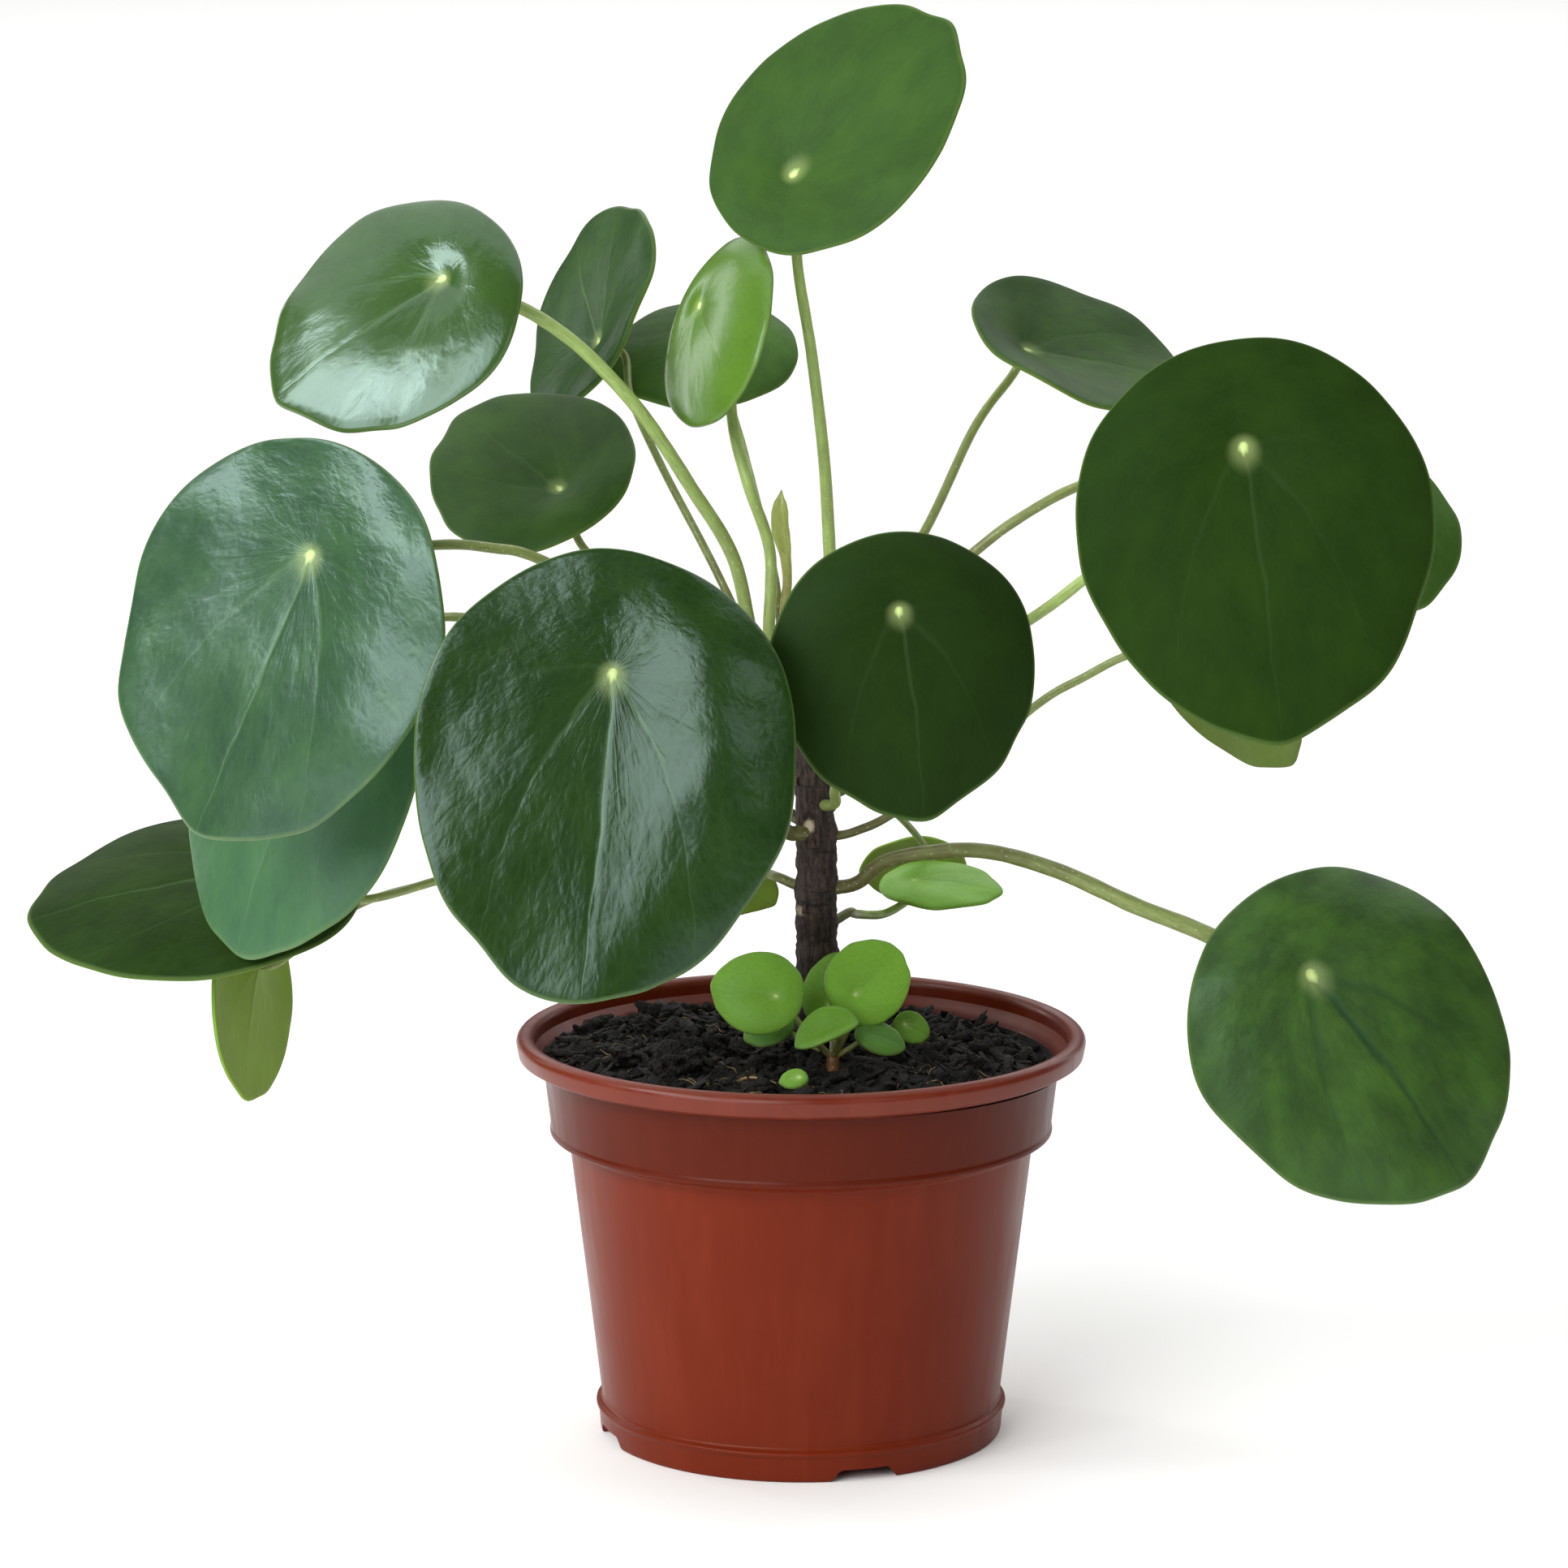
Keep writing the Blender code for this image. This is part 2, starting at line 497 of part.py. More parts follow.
def blade_solid(leaf):
    """A blade: a disc grown ring by ring, shaped, cut into triangles and doubled at its thickness."""
    small = leaf.length < SMALL_LEAF
    points = SMALL_RIM_POINTS if small else RIM_POINTS
    shares = SMALL_RING_SHARES if small else RING_SHARES
    bm = bmesh.new()
    bmesh.ops.create_circle(bm, cap_ends=True, cap_tris=True, segments=points, radius=shares[0])
    for inner, outer in zip(shares, shares[1:]):
        edge = [item for item in bm.edges if item.is_boundary]
        grown = bmesh.ops.extrude_edge_only(bm, edges=edge)["geom"]
        verts = [item for item in grown if isinstance(item, bmesh.types.BMVert)]
        bmesh.ops.scale(bm, vec=(outer / inner, outer / inner, 1.0), verts=verts)
    for vert in bm.verts:
        vert.co = blade_point(leaf, vert.co)
    bmesh.ops.triangulate(bm, faces=bm.faces[:], quad_method="FIXED")
    under = bmesh.ops.extrude_face_region(bm, geom=bm.faces[:])["geom"]
    verts = [item for item in under if isinstance(item, bmesh.types.BMVert)]
    bmesh.ops.translate(bm, vec=(0.0, 0.0, -blade_thickness(leaf)), verts=verts)
    bmesh.ops.triangulate(bm, faces=bm.faces[:], quad_method="FIXED")
    return bm


def make_blade(leaf):
    """A leaf's round blade."""
    return new_object("blade_" + leaf.name, blade_solid(leaf), leaf.tone, smooth_angle=50.0,
                      frame=leaf_frame(leaf))


def stalk_solid(leaf, route, depth, start_axis=None):
    """A stalk along a route that ends square to the blade's underside, at a depth below the hub."""
    normal = leaf_frame(leaf).col[2].xyz
    end = Vector(leaf.hub) - depth * normal
    reach = STALK_ARRIVAL * min(1.0, leaf.length / 50.0)
    spacing = STALK_RING_SPACING * min(1.0, leaf.length / 30.0)
    smooth = smooth_route([*route, end - reach * normal, end], spacing)
    return tube(smooth, lambda share: blend(leaf.thick, share) / 2, STALK_SIDES, start_axis, normal)


def make_stalk(leaf):
    """A leaf's stalk, from the trunk's surface to the underside of the blade."""
    height, bearing = leaf.joint
    out = direction(bearing)
    middle = trunk_middle(height)
    start = middle + out * (trunk_radius(height) * LEAN_ALLOWANCE + SCAR_RELIEF + CLEARANCE)
    route = [start, start + STALK_ROOT * out + 0.3 * STALK_ROOT * UP, *leaf.route]
    solid = stalk_solid(leaf, route, blade_thickness(leaf) + CLEARANCE, out)
    return new_object("stalk_" + leaf.name, solid, "stalk", smooth_angle=50.0,
                      frame=Matrix.Translation(start))


def make_bud():
    """The youngest leaf, still folded: a short stalk that widens into a flat spindle."""
    tip = tip_route()
    axis = (tip[-1] - tip[-2]).normalized()
    route = smooth_route([tip[-1] + CLEARANCE * axis, *BUD_ROUTE], 2.6)
    bm = tube(route, lambda share: blend(BUD_RADII, share), 8, axis)
    for vert in bm.verts:
        at = route[0] + vert.co
        middle = min(route, key=lambda point: (point - at).length)
        if middle.z > BUD_ROUTE[2][2]:
            vert.co.y += (middle.y - at.y) * (1 - BUD_FLATNESS)
    return new_object("bud", bm, "bud", smooth_angle=50.0, frame=Matrix.Translation(route[0]))


def make_shoot(shoot):
    """A small shoot: a short crown in the soil, with stalks and little blades grown from it."""
    foot = Vector((*shoot.root, SOIL_LEVEL - SHOOT_HOLE_DEPTH + CLEARANCE))
    top = Vector((*shoot.root, SOIL_LEVEL + SOIL_MOUND + shoot.crown_height))
    crown = tube([foot, foot.lerp(top, 0.5), top],
                 lambda share: shoot.crown_radius * (1 - 0.35 * share), 8)
    body = new_object(shoot.name, crown, "bright", smooth_angle=50.0, frame=Matrix.Translation(foot))
    grown = []
    for leaf in shoot.leaves:
        start = top - 1.4 * UP
        stalk = stalk_solid(leaf, [start, *leaf.route], SMALL_BLADE_THICKNESS / 2)
        grown.append(new_object("part", stalk, "bright", frame=Matrix.Translation(start)))
        grown.append(new_object("part", blade_solid(leaf), "bright", frame=leaf_frame(leaf)))
    combine(body, grown, "UNION")
    return body


def main():
    """Clears the scene and builds the plant from the pot up."""
    for thing in list(bpy.data.objects):
        bpy.data.objects.remove(thing)
    make_pot()
    make_soil()
    make_trunk()
    make_shoot_tip()
    make_bud()
    for shoot in SHOOTS:
        make_shoot(shoot)
    for leaf in LEAVES:
        make_blade(leaf)
        make_stalk(leaf)
    plant = bpy.data.objects.new("potted_plant", None)
    for thing in list(bpy.data.objects):
        if thing.type == "MESH":
            thing.parent = plant
    bpy.context.collection.objects.link(plant)


main()
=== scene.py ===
"""The looks of a potted raindrop peperomia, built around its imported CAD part.

The part's plain solids are replaced by finely made pieces that keep their form: waxy round
leaves with sunken veins, green stalks, a barked trunk, chunky peat and a moulded plastic pot.
Pieces are modelled in millimetres in the part's own frame, and turned to metres when they are
finished. Angles are in degrees. The file is laid out as an add-on, and runs as a script.
"""
import math
import random
from collections import namedtuple

import bmesh
import bpy
from bpy.props import FloatProperty, FloatVectorProperty, IntProperty, PointerProperty
from mathutils import Matrix, Vector, noise


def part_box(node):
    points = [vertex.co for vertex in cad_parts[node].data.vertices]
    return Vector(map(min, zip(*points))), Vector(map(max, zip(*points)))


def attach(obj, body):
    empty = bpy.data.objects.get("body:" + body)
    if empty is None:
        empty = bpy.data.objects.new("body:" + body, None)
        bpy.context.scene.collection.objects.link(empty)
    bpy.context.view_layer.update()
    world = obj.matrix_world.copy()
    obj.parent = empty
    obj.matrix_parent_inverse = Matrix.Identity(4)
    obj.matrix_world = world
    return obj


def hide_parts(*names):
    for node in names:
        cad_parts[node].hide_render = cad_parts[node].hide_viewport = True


bl_info = {
    "name": "Potted raindrop peperomia",
    "version": (1, 0, 0),
    "blender": (4, 5, 0),
    "location": "View3D > Sidebar > Plant",
    "description": "Gives a potted plant's plain solids their leaves, bark, peat and plastic",
    "category": "Object",
}

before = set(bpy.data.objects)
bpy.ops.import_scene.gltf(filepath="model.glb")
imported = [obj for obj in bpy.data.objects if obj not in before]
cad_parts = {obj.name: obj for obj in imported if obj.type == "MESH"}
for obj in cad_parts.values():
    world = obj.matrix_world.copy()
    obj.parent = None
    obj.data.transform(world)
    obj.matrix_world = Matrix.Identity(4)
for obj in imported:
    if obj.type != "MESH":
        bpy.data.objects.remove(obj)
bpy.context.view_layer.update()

# Units and directions
MM = 0.001
UP = Vector((0.0, 0.0, 1.0))
TURN = math.tau

# Pot, its height and width read from the frame
POT_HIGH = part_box("pot")[1] / MM
POT_HEIGHT = POT_HIGH.z
RIM_RADIUS = POT_HIGH.x
RIM_INSIDE = RIM_RADIUS - 3.8
RIM_UNDERSIDE = POT_HEIGHT - 5.4
POT_WALL = 1.2
BAND_TOP_RADIUS = 54.5
BAND_BOTTOM_RADIUS = 52.7
BAND_BOTTOM = 65.0
BODY_TOP_RADIUS = 49.0
BODY_BOTTOM_RADIUS = 42.2
FOOT_HEIGHT = 6.4
FOOT_RADIUS = 43.2
FOOT_RING_WIDTH = 2.2
FLOOR_UNDERSIDE = 2.6
FLOOR_THICKNESS = 2.0
PAD_RADIUS = 8.0
FOOT_NOTCHES = 4
NOTCH_BEARING = -72.0
NOTCH_WIDTH_BOTTOM = 14.5
NOTCH_WIDTH_TOP = 10.5
NOTCH_HEIGHT = 2.5
NOTCH_ROUNDING = 0.6
DRAIN_HOLES = 8
DRAIN_HOLE_RADIUS = 3.5
DRAIN_HOLE_CIRCLE = 33.0
BEAD_HEIGHT = 0.35
OUTER_ROUNDING = 0.7
INNER_ROUNDING = 0.9
SHARP_ANGLE = 42.0

# Soil
SOIL_LEVEL = 82.0
SOIL_MOUND = 1.2
SOIL_CLOD = 0.9
SOIL_RING_SPACING = 0.9
SOIL_GAP = 0.4
SHOOT_HOLE_DEPTH = 8.0

# Trunk: points up its middle, and how thick it is there
TRUNK_ROUTE = ((3.2, 0, 57), (3.4, 0, 82), (3.3, 0, 105), (3.0, 0, 128), (2.4, 0, 142))
TRUNK_RADII = (3.6, 4.6, 4.3, 4.1, 3.7)
TIP_START = (2.4, 0.0, 147.5)
TIP_START_RADIUS = 3.6
TIP_ROUTE = ((2.2, 0.0, 149.5), (0.2, 0.2, 157.0), (-2.2, 0.4, 165.0), (-3.6, 0.8, 172.0))
TIP_RADII = (3.5, 3.2, 2.8, 1.9)
TIP_ROUNDING = 1.2
TIP_STEPS = (0.35, 0.7, 0.95, 1.0)
TRUNK_TOP = 149.0
TRUNK_SIDES = 56
TRUNK_RING_SPACING = 0.6
SCAR_SPACING = 4.6
SCAR_RELIEF = 0.35
SCAR_HALF_HEIGHT = 1.1
SCAR_HALF_WIDTH = 0.55
GOLDEN_ANGLE = 137.5
FRESH_SCAR_HEIGHT = 130.5
FRESH_SCAR_BEARING = -108.0
FRESH_SCAR_HALF_HEIGHT = 1.6
FRESH_SCAR_HALF_WIDTH = 0.3
FLAP_THICKNESS = 0.14
COLLAR_RELIEF = 0.55
COLLAR_HALF_HEIGHT = 2.6
COLLAR_HALF_WIDTH = 0.5

# Blades. The relief and the veins of a leaf grow with its length, and are given for a large one
LARGE_LEAF = 80.0
BLADE_THICKNESS = 1.1
SMALL_LEAF = 35.0
SMALL_BLADE_THICKNESS = 0.9
HUB_SHARE = 0.27
EGG_SHAPE = 0.07
TIP_POINT = 1.3
TIP_HALF_ANGLE = 0.2
BULGE = 2.6
VEIN_SPACING = 60.0
VEIN_CURL = 0.7
UNEVEN_EDGE = 0.03
EDGE_LOBES = 2.6
EDGE_WAVES = 6
DARK_VEIN_BREADTH = 2.2
SWELL_SIZE = 9.0
ROLL_SIZE = 22.0

# Sizes of the materials' patterns, in millimetres: across and along where there are two
BLOTCH_SIZE = 11.0
UNDER_BLOTCH_SIZE = 9.0
SKIN_GRAIN = 0.7
SKIN_CELL = 3.6
SIDE_VEIN_SPACING = 5.5
VEIN_CELL = 2.2
WRINKLE_SIZE = (1.3, 3.4)
LEAF_RIM_WIDTH = 0.6
SCALE_STREAK = 0.6
PEAT_LUMP = 3.5
PEAT_GRAIN = 0.8
FLOW_STREAK = (4.0, 60.0)
SCUFF = (2.2, 700.0)
WEAR_PATCH = 22.0

# Names of the attributes that the materials read
FLAT = "flat"
STRAIGHT = "straight"
SHARE = "share"
PALE = "pale"

# Stalks
STALK_SIDES = 14
STALK_RING_SPACING = 1.1
STALK_ROOT = 4.0
STALK_ARRIVAL = 6.0
LEAN_ALLOWANCE = 1.06
CLEARANCE = 0.3
FOOT_FLARE = 0.35
BLADE_SINK = 0.6
YOUNG_STALKS = ("top", "upper_left", "young", "centre")
GREEN_STALKS = ("front", "back_middle", "right", "small_right", "small_left")

Leaf = namedtuple("Leaf", "name tone hub length width turn lift tip dome bend wave joint thick route")
"""One leaf. hub: the point of the upper side over the stalk. turn and lift: where the upper side
faces, to the right of the front and above level. tip: how far the tip is turned from straight
downhill, to the right as the upper side is seen. dome: how far the edge falls behind the hub.
bend: how far the two long sides fall besides. wave: the edge's waviness. joint: height and
bearing where the stalk leaves the trunk, bearings running anticlockwise from +X. thick: the
stalk's thickness at the trunk and at the blade. route: points that the stalk passes."""

LEAVES = (
    Leaf("top", "mid", (-2, -6, 266), 60, 51, -30, 30, 142, -2.5, 0, 0.3, (160, 20), (3.0, 2.1),
         ((6.2, 0, 178), (5.7, 0, 191), (4.6, 0, 208), (2.1, -1, 229), (-1, -1, 250))),
    Leaf("upper_left", "mid", (-72, -25, 247), 56, 50, -23, 32, -48, 1.0, 0, 0.3, (166, 195), (3.0, 2.6),
         ((-14, -5, 187), (-23, -10, 203), (-31, -14, 216), (-38, -17, 225), (-47, -19, 234),
          (-58, -20, 241))),
    Leaf("back_left", "blue", (-43, 40, 227), 54, 47, -67, 27, -122, -2.0, 0, 0.5, (158, 140), (1.9, 1.6),
         ((-19, 14, 184), (-29, 22, 202), (-36, 32, 216))),
    Leaf("back_middle", "dark", (-13, 55, 227), 42, 38, 0, 60, -60, 1.0, 0, 0.3, (168, 100), (1.9, 1.7),
         ((-6, 10, 183), (-12, 33, 204), (-15, 48, 214))),
    Leaf("young", "bright", (-21, 2, 239), 44, 40, -65, 22, 62, 2.0, 0, 0.0, (170, 240), (2.6, 2.2),
         ((-6.5, -3, 188), (-11, -2, 202), (-14, 2, 213), (-15, 5, 225))),
    Leaf("middle_left", "dark", (-50, 5, 200), 48, 43, -22, 48, -122, 0.0, 0, 0.3, (154, 165), (1.9, 1.7),
         ((-23, 4, 172), (-44, 7, 186))),
    Leaf("left", "blue", (-98, -45, 194), 82, 74, -28, 14, -18, 0.0, 0, 1.0, (155, 215), (2.4, 2.0),
         ((-31, -15, 176), (-53, -27, 190), (-63, -31, 193), (-74, -34, 194))),
    Leaf("front", "blue", (-37, -75, 175), 89, 75, 0, 16, -5, 3.0, 0, 0.6, (129, 225), (3.2, 2.6),
         ((-10, -25, 141), (-22, -50, 159), (-31, -64, 170))),
    Leaf("lower_left", "mid", (-100, 0, 155), 73, 58, -35, 20, -10, 1.0, 0, 0.5, (146, 185), (2.2, 1.8),
         ((-20, 0, 157), (-50, 2, 168), (-70, 6, 173), (-84, 12, 170), (-92, 16, 161))),
    Leaf("far_left", "dark", (-112, 20, 116), 72, 58, -10, 64, -70, 2.0, 0, 0.4, (139, 175), (2.2, 1.8),
         ((-32, 8, 132), (-56, 12, 122), (-77, 16, 115), (-94, 22, 109.5))),
    Leaf("hanging", "bright", (-117, 25, 95), 40, 36, -112, -6, 25, 0.0, 0, 0.0, (131, 155), (1.9, 1.6),
         ((-32, 18, 124), (-56, 25, 118), (-78, 30, 112), (-96, 35, 105.5))),
    Leaf("centre", "dark", (19, -60, 185), 56, 53, 8, 10, 7, 3.0, 0, 0.0, (135, 300), (2.3, 2.0),
         ((7, -12, 140), (9.5, -20, 147), (15, -42, 166))),
    Leaf("right", "dark", (87, -55, 217), 80, 70, -5, 15, 9, 1.0, 0, 0.4, (145, 340), (2.4, 2.2),
         ((19, -15, 159), (46, -30, 178), (58, -35, 188), (73, -42, 201))),
    Leaf("upper_right", "dark", (48, 45, 225), 52, 47, 45, 58, 55, -4.0, 0, 0.6, (159, 60), (2.1, 1.9),
         ((12, 15, 168), (26, 26, 188), (37, 38, 209))),
    Leaf("right_back", "dark", (110, 5, 199), 46, 42, -5, 46, 35, 1.0, 0, 0.4, (152, 10), (2.3, 2.0),
         ((19, 0, 174), (35, 0, 187), (44, 0, 194), (57, 2, 201), (72, 8, 204), (90, 13, 201),
          (103, 14, 195))),
    Leaf("right_under", "pale", (80, -10, 172), 46, 42, 130, 25, -33, 0.0, 0, 0.4, (128, 350), (1.9, 1.7),
         ((19, -3, 133), (36, -6, 146), (50, -9, 158), (58, -11, 163), (67, -13, 168))),
    Leaf("lower_right", "mid", (104, -30, 105), 73, 66, 13, 20, 35, 4.0, 0, 1.2, (117, 350), (2.9, 3.8),
         ((19, -6, 124), (36, -12, 127), (52, -17, 124), (69, -21, 117), (82, -22, 112))),
    Leaf("small_right", "bright", (24, 26, 113), 26, 23, 0, 76, 75, 0.5, 0, 0.2, (109, 40), (2.1, 1.7),
         ((12, 12, 108.5), (18, 20, 107))),
    Leaf("small_left", "pale", (-21, 20, 115), 24, 21, 180, 44, -60, 0.5, 0, 0.2, (117, 155), (2.2, 1.8),
         ((-9, 12, 117),)),
    Leaf("small_back", "pale", (30, 46, 112), 23, 21, 180, 38, 90, 0.5, 0, 0.2, (136, 25), (1.7, 1.5),
         ((13, 10, 134), (20, 25, 128), (27, 37, 118))),
)

# The bud at the top of the trunk: points that it passes after it leaves the green tip
BUD_ROUTE = ((-3.4, 2.4, 177), (-2.9, 3.8, 181), (-3.4, 4.6, 187), (-4.4, 5.0, 192), (-4.4, 5.0, 197),
             (-4.1, 5.0, 200))
BUD_RADII = (0.9, 1.0, 1.0, 1.2, 1.9, 1.8, 0.8)
BUD_FLATNESS = 0.5

# Shoots at the trunk's foot: where each leaves the soil, and its small leaves
Shoot = namedtuple("Shoot", "name root crown_height crown_radius leaves")
SHOOTS = (
    Shoot("shoot_main", (6.5, -21.5), 3.0, 1.9, (
        Leaf("a", "bright", (-5, -26, 99), 20, 17.5, -15, 25, -100, 0.8, 0, 0, None, (1.4, 1.2),
             ((1, -23, 91),)),
        Leaf("b", "bright", (5.5, -13, 94), 17, 15, -30, 25, 175, 0.8, 0, 0, None, (1.4, 1.2), ()),
        Leaf("c", "bright", (11, -20, 98), 19, 17.5, 12, 20, 130, 0.8, 0, 0, None, (1.6, 1.3),
             ((9.5, -20, 91),)),
        Leaf("d", "mid", (-4.5, -17, 91.5), 11, 9, -20, 45, -60, 0.5, 0, 0, None, (1.2, 1.1), ()),
        Leaf("e", "bright", (8, -28, 93.5), 14, 9, -20, 50, -55, 0.5, 0, 0, None, (1.2, 1.1), ()),
        Leaf("f", "mid", (14, -22, 90.5), 11, 8, 20, 45, 60, 0.5, 0, 0, None, (1.2, 1.1), ()),
    )),
    Shoot("shoot_side", (19.0, 4.0), 3.0, 1.2, (
        Leaf("a", "bright", (21.5, -9, 89.5), 8, 7, 10, 25, 60, 0.4, 0, 0, None, (1.2, 1.1),
             ((20, -2, 88),)),
    )),
    Shoot("shoot_front", (0.5, -41.0), 1.5, 1.2, (
        Leaf("a", "bright", (-0.3, -43, 86), 6, 5, -10, 50, -80, 0.4, 0, 0, None, (1.2, 1.1), ()),
    )),
)

Look = namedtuple("Look", "light vein quilt fold flat rough shine mottle hub")
"""How one leaf's upper side looks. light: its lightness beside its tone's colour. vein: how clearly
its veins show, below zero where they are darker than the blade. quilt: how far the flesh between the
veins stands up, in millimetres. fold: how far the two halves rise beside the midrib, in millimetres,
or fall where it is below zero. flat: the share of its bulge that the left half lacks. rough: the
wax's roughness. shine: how strongly it reflects. mottle: how uneven the green is. hub: the radius of
the pale spot over the stalk, in millimetres."""

LOOKS = {
    "top": Look(0.78, -0.20, 0.10, -0.8, 0.0, 0.50, 0.22, 0.40, 1.2),
    "upper_left": Look(0.72, 0.10, 0.14, -0.5, 0.0, 0.20, 1.60, 0.35, 1.1),
    "back_left": Look(0.62, 0.15, 0.20, -0.8, 0.0, 0.34, 0.22, 0.45, 0.9),
    "back_middle": Look(2.30, 0.10, 0.12, -0.5, 0.0, 0.50, 0.30, 0.35, 0.8),
    "young": Look(0.54, 0.05, 0.09, 0.0, 0.0, 0.24, 0.65, 0.35, 1.0),
    "middle_left": Look(1.35, 0.06, 0.12, -0.6, 0.0, 0.46, 0.40, 0.35, 0.9),
    "left": Look(0.76, 0.25, 0.32, 0.6, 0.8, 0.32, 1.40, 0.50, 1.5),
    "front": Look(0.38, 0.20, 0.28, 2.4, 0.9, 0.25, 1.05, 0.40, 1.3),
    "lower_left": Look(1.35, 0.15, 0.18, -1.0, 0.0, 0.42, 1.20, 0.35, 1.1),
    "far_left": Look(0.62, 0.12, 0.12, -0.6, 0.0, 0.52, 0.15, 0.35, 1.1),
    "hanging": Look(1.10, 0.20, 0.10, 0.6, 0.0, 0.50, 0.20, 0.35, 0.9),
    "centre": Look(0.60, 0.05, 0.06, -1.0, 0.0, 0.55, 0.15, 0.15, 1.1),
    "right": Look(0.72, 0.04, 0.08, -1.0, 0.0, 0.55, 0.08, 0.20, 1.3),
    "upper_right": Look(1.35, 0.12, 0.14, 2.0, 0.0, 0.50, 0.40, 0.45, 1.0),
    "right_back": Look(2.10, 0.10, 0.10, -0.8, 0.0, 0.55, 0.20, 0.25, 0.9),
    "right_under": Look(0.42, 0.15, 0.10, 0.6, 0.0, 0.60, 0.20, 0.35, 0.9),
    "lower_right": Look(0.66, -0.85, 0.28, -1.2, 0.0, 0.42, 0.60, 1.00, 1.5),
    "small_right": Look(1.40, 0.15, 0.10, 0.5, 0.0, 0.42, 0.50, 0.60, 0.5),
    "small_left": Look(1.60, 0.15, 0.10, 0.5, 0.0, 0.42, 0.50, 0.35, 0.5),
    "small_back": Look(1.25, 0.15, 0.10, 0.5, 0.0, 0.42, 0.50, 0.35, 0.5),
    "c": Look(1.50, 0.10, 0.10, 0.5, 0.0, 0.42, 0.50, 0.35, 0.5),
    "d": Look(2.60, 0.10, 0.10, 0.5, 0.0, 0.42, 0.50, 0.35, 0.5),
    "e": Look(1.10, 0.05, 0.10, 3.2, 0.0, 0.40, 0.60, 0.35, 0.0),
    "f": Look(2.30, 0.10, 0.10, 0.5, 0.0, 0.42, 0.50, 0.35, 0.0),
    "small": Look(1.20, 0.15, 0.10, 0.5, 0.0, 0.42, 0.50, 0.35, 0.5),
}

# Leaves whose upper side has a colour of its own
OWN_COLOURS = {"front": "deep", "left": "bloomed", "lower_left": "bloomed"}


def linear(hex_colour):
    """The linear colour that the shaders take, from an sRGB hex value."""
    channels = [int(hex_colour[place:place + 2], 16) / 255 for place in (1, 3, 5)]
    return tuple(value / 12.92 if value <= 0.04045 else ((value + 0.055) / 1.055) ** 2.4
                 for value in channels)


def colour_setting(name, description, hex_colour):
    """A colour that the user can change."""
    return FloatVectorProperty(name=name, description=description, subtype="COLOR", size=3, min=0.0,
                               max=1.0, default=linear(hex_colour))


def length_setting(name, description, millimetres, **limits):
    """A length that the user can change."""
    return FloatProperty(name=name, description=description, default=millimetres * MM, unit="LENGTH",
                         **limits)


def count_setting(name, description, count, least=0, **limits):
    """A number of things that the user can change."""
    return IntProperty(name=name, description=description, default=count, min=least, **limits)


class LeafSettings(bpy.types.PropertyGroup):
    """The leaves' sizes and colours"""
    rim_points: count_setting("Points round a leaf", "Points round a large leaf's edge", 176, 24, max=256)
    ring_spacing: length_setting("Ring spacing", "Space between the rings of a blade's mesh", 1.3,
                                 min=0.5 * MM)
    vein_depth: length_setting("Vein depth", "How deep the main veins are sunk in the upper side", 0.28)
    vein_width: length_setting("Vein width", "Half the width of a main vein's furrow", 0.9)
    bloom: colour_setting("Wax bloom", "Tint that the wax gives to reflected light", "#D6F2F2")
    dark: colour_setting("Dark leaves", "Upper side of the oldest leaves", "#22390F")
    mid: colour_setting("Green leaves", "Upper side of grown leaves", "#33501D")
    blue: colour_setting("Blue-green leaves", "Upper side of the leaves with a thick wax bloom", "#2C4C20")
    bloomed: colour_setting("Bloomed leaves", "Upper side where the wax bloom is thickest", "#29492D")
    deep: colour_setting("Deep green leaves", "Upper side of a large leaf in its prime", "#27490F")
    bright: colour_setting("Young leaves", "Upper side of young leaves and shoots", "#618B2C")
    pale: colour_setting("Pale leaves", "Leaves that turn their underside to the front", "#86A454")
    pale_vein: colour_setting("Pale veins", "Veins that are lighter than the blade", "#7E9E70")
    dark_vein: colour_setting("Dark veins", "Veins that are darker than the blade", "#1E3A1E")
    hub: colour_setting("Hub", "The star where the stalk comes through", "#C4D88C")
    edge: colour_setting("Edge", "The blade's thin translucent edge", "#6F8C4A")
    underside: colour_setting("Underside", "The blade's pale underside", "#7F9C2E")


class StalkSettings(bpy.types.PropertyGroup):
    """The stalks' colours"""
    root: colour_setting("Root", "A stalk's colour near the trunk", "#666239")
    tip: colour_setting("Tip", "A stalk's colour near its blade", "#839352")
    young: colour_setting("Young", "The colour of the youngest stalks", "#9DB866")
    freckle: colour_setting("Freckles", "The tiny pale pores of the stalks", "#B9BF92")


class TrunkSettings(bpy.types.PropertyGroup):
    """The trunk's relief and colours"""
    crack_depth: length_setting("Crack depth", "Depth of the cracks that run up the bark", 0.35)
    bark: colour_setting("Bark", "Ridges of the bark", "#54443F")
    crack: colour_setting("Cracks", "Bottom of the bark's cracks", "#120C0B")
    scar: colour_setting("Scars", "Dry tissue where leaves fell off", "#C9BCA0")
    flap: colour_setting("Dry scales", "Dry scales that still cling to the bark", "#3A2A20")


class SoilSettings(bpy.types.PropertyGroup):
    """The peat's grain and colours"""
    crumbs: count_setting("Crumbs", "Loose crumbs of peat on the surface", 1500)
    chips: count_setting("Chips", "Chips of bark on the surface", 420)
    fibres: count_setting("Fibres", "Thin fibres on the surface", 90)
    peat: colour_setting("Peat", "Moist peat", "#0E0C0B")
    dry_peat: colour_setting("Dry peat", "Grains that have dried in the air", "#241F1A")
    chip: colour_setting("Chip", "Composted bark", "#1A1410")
    fibre: colour_setting("Fibre", "Dry root fibres", "#8A7350")


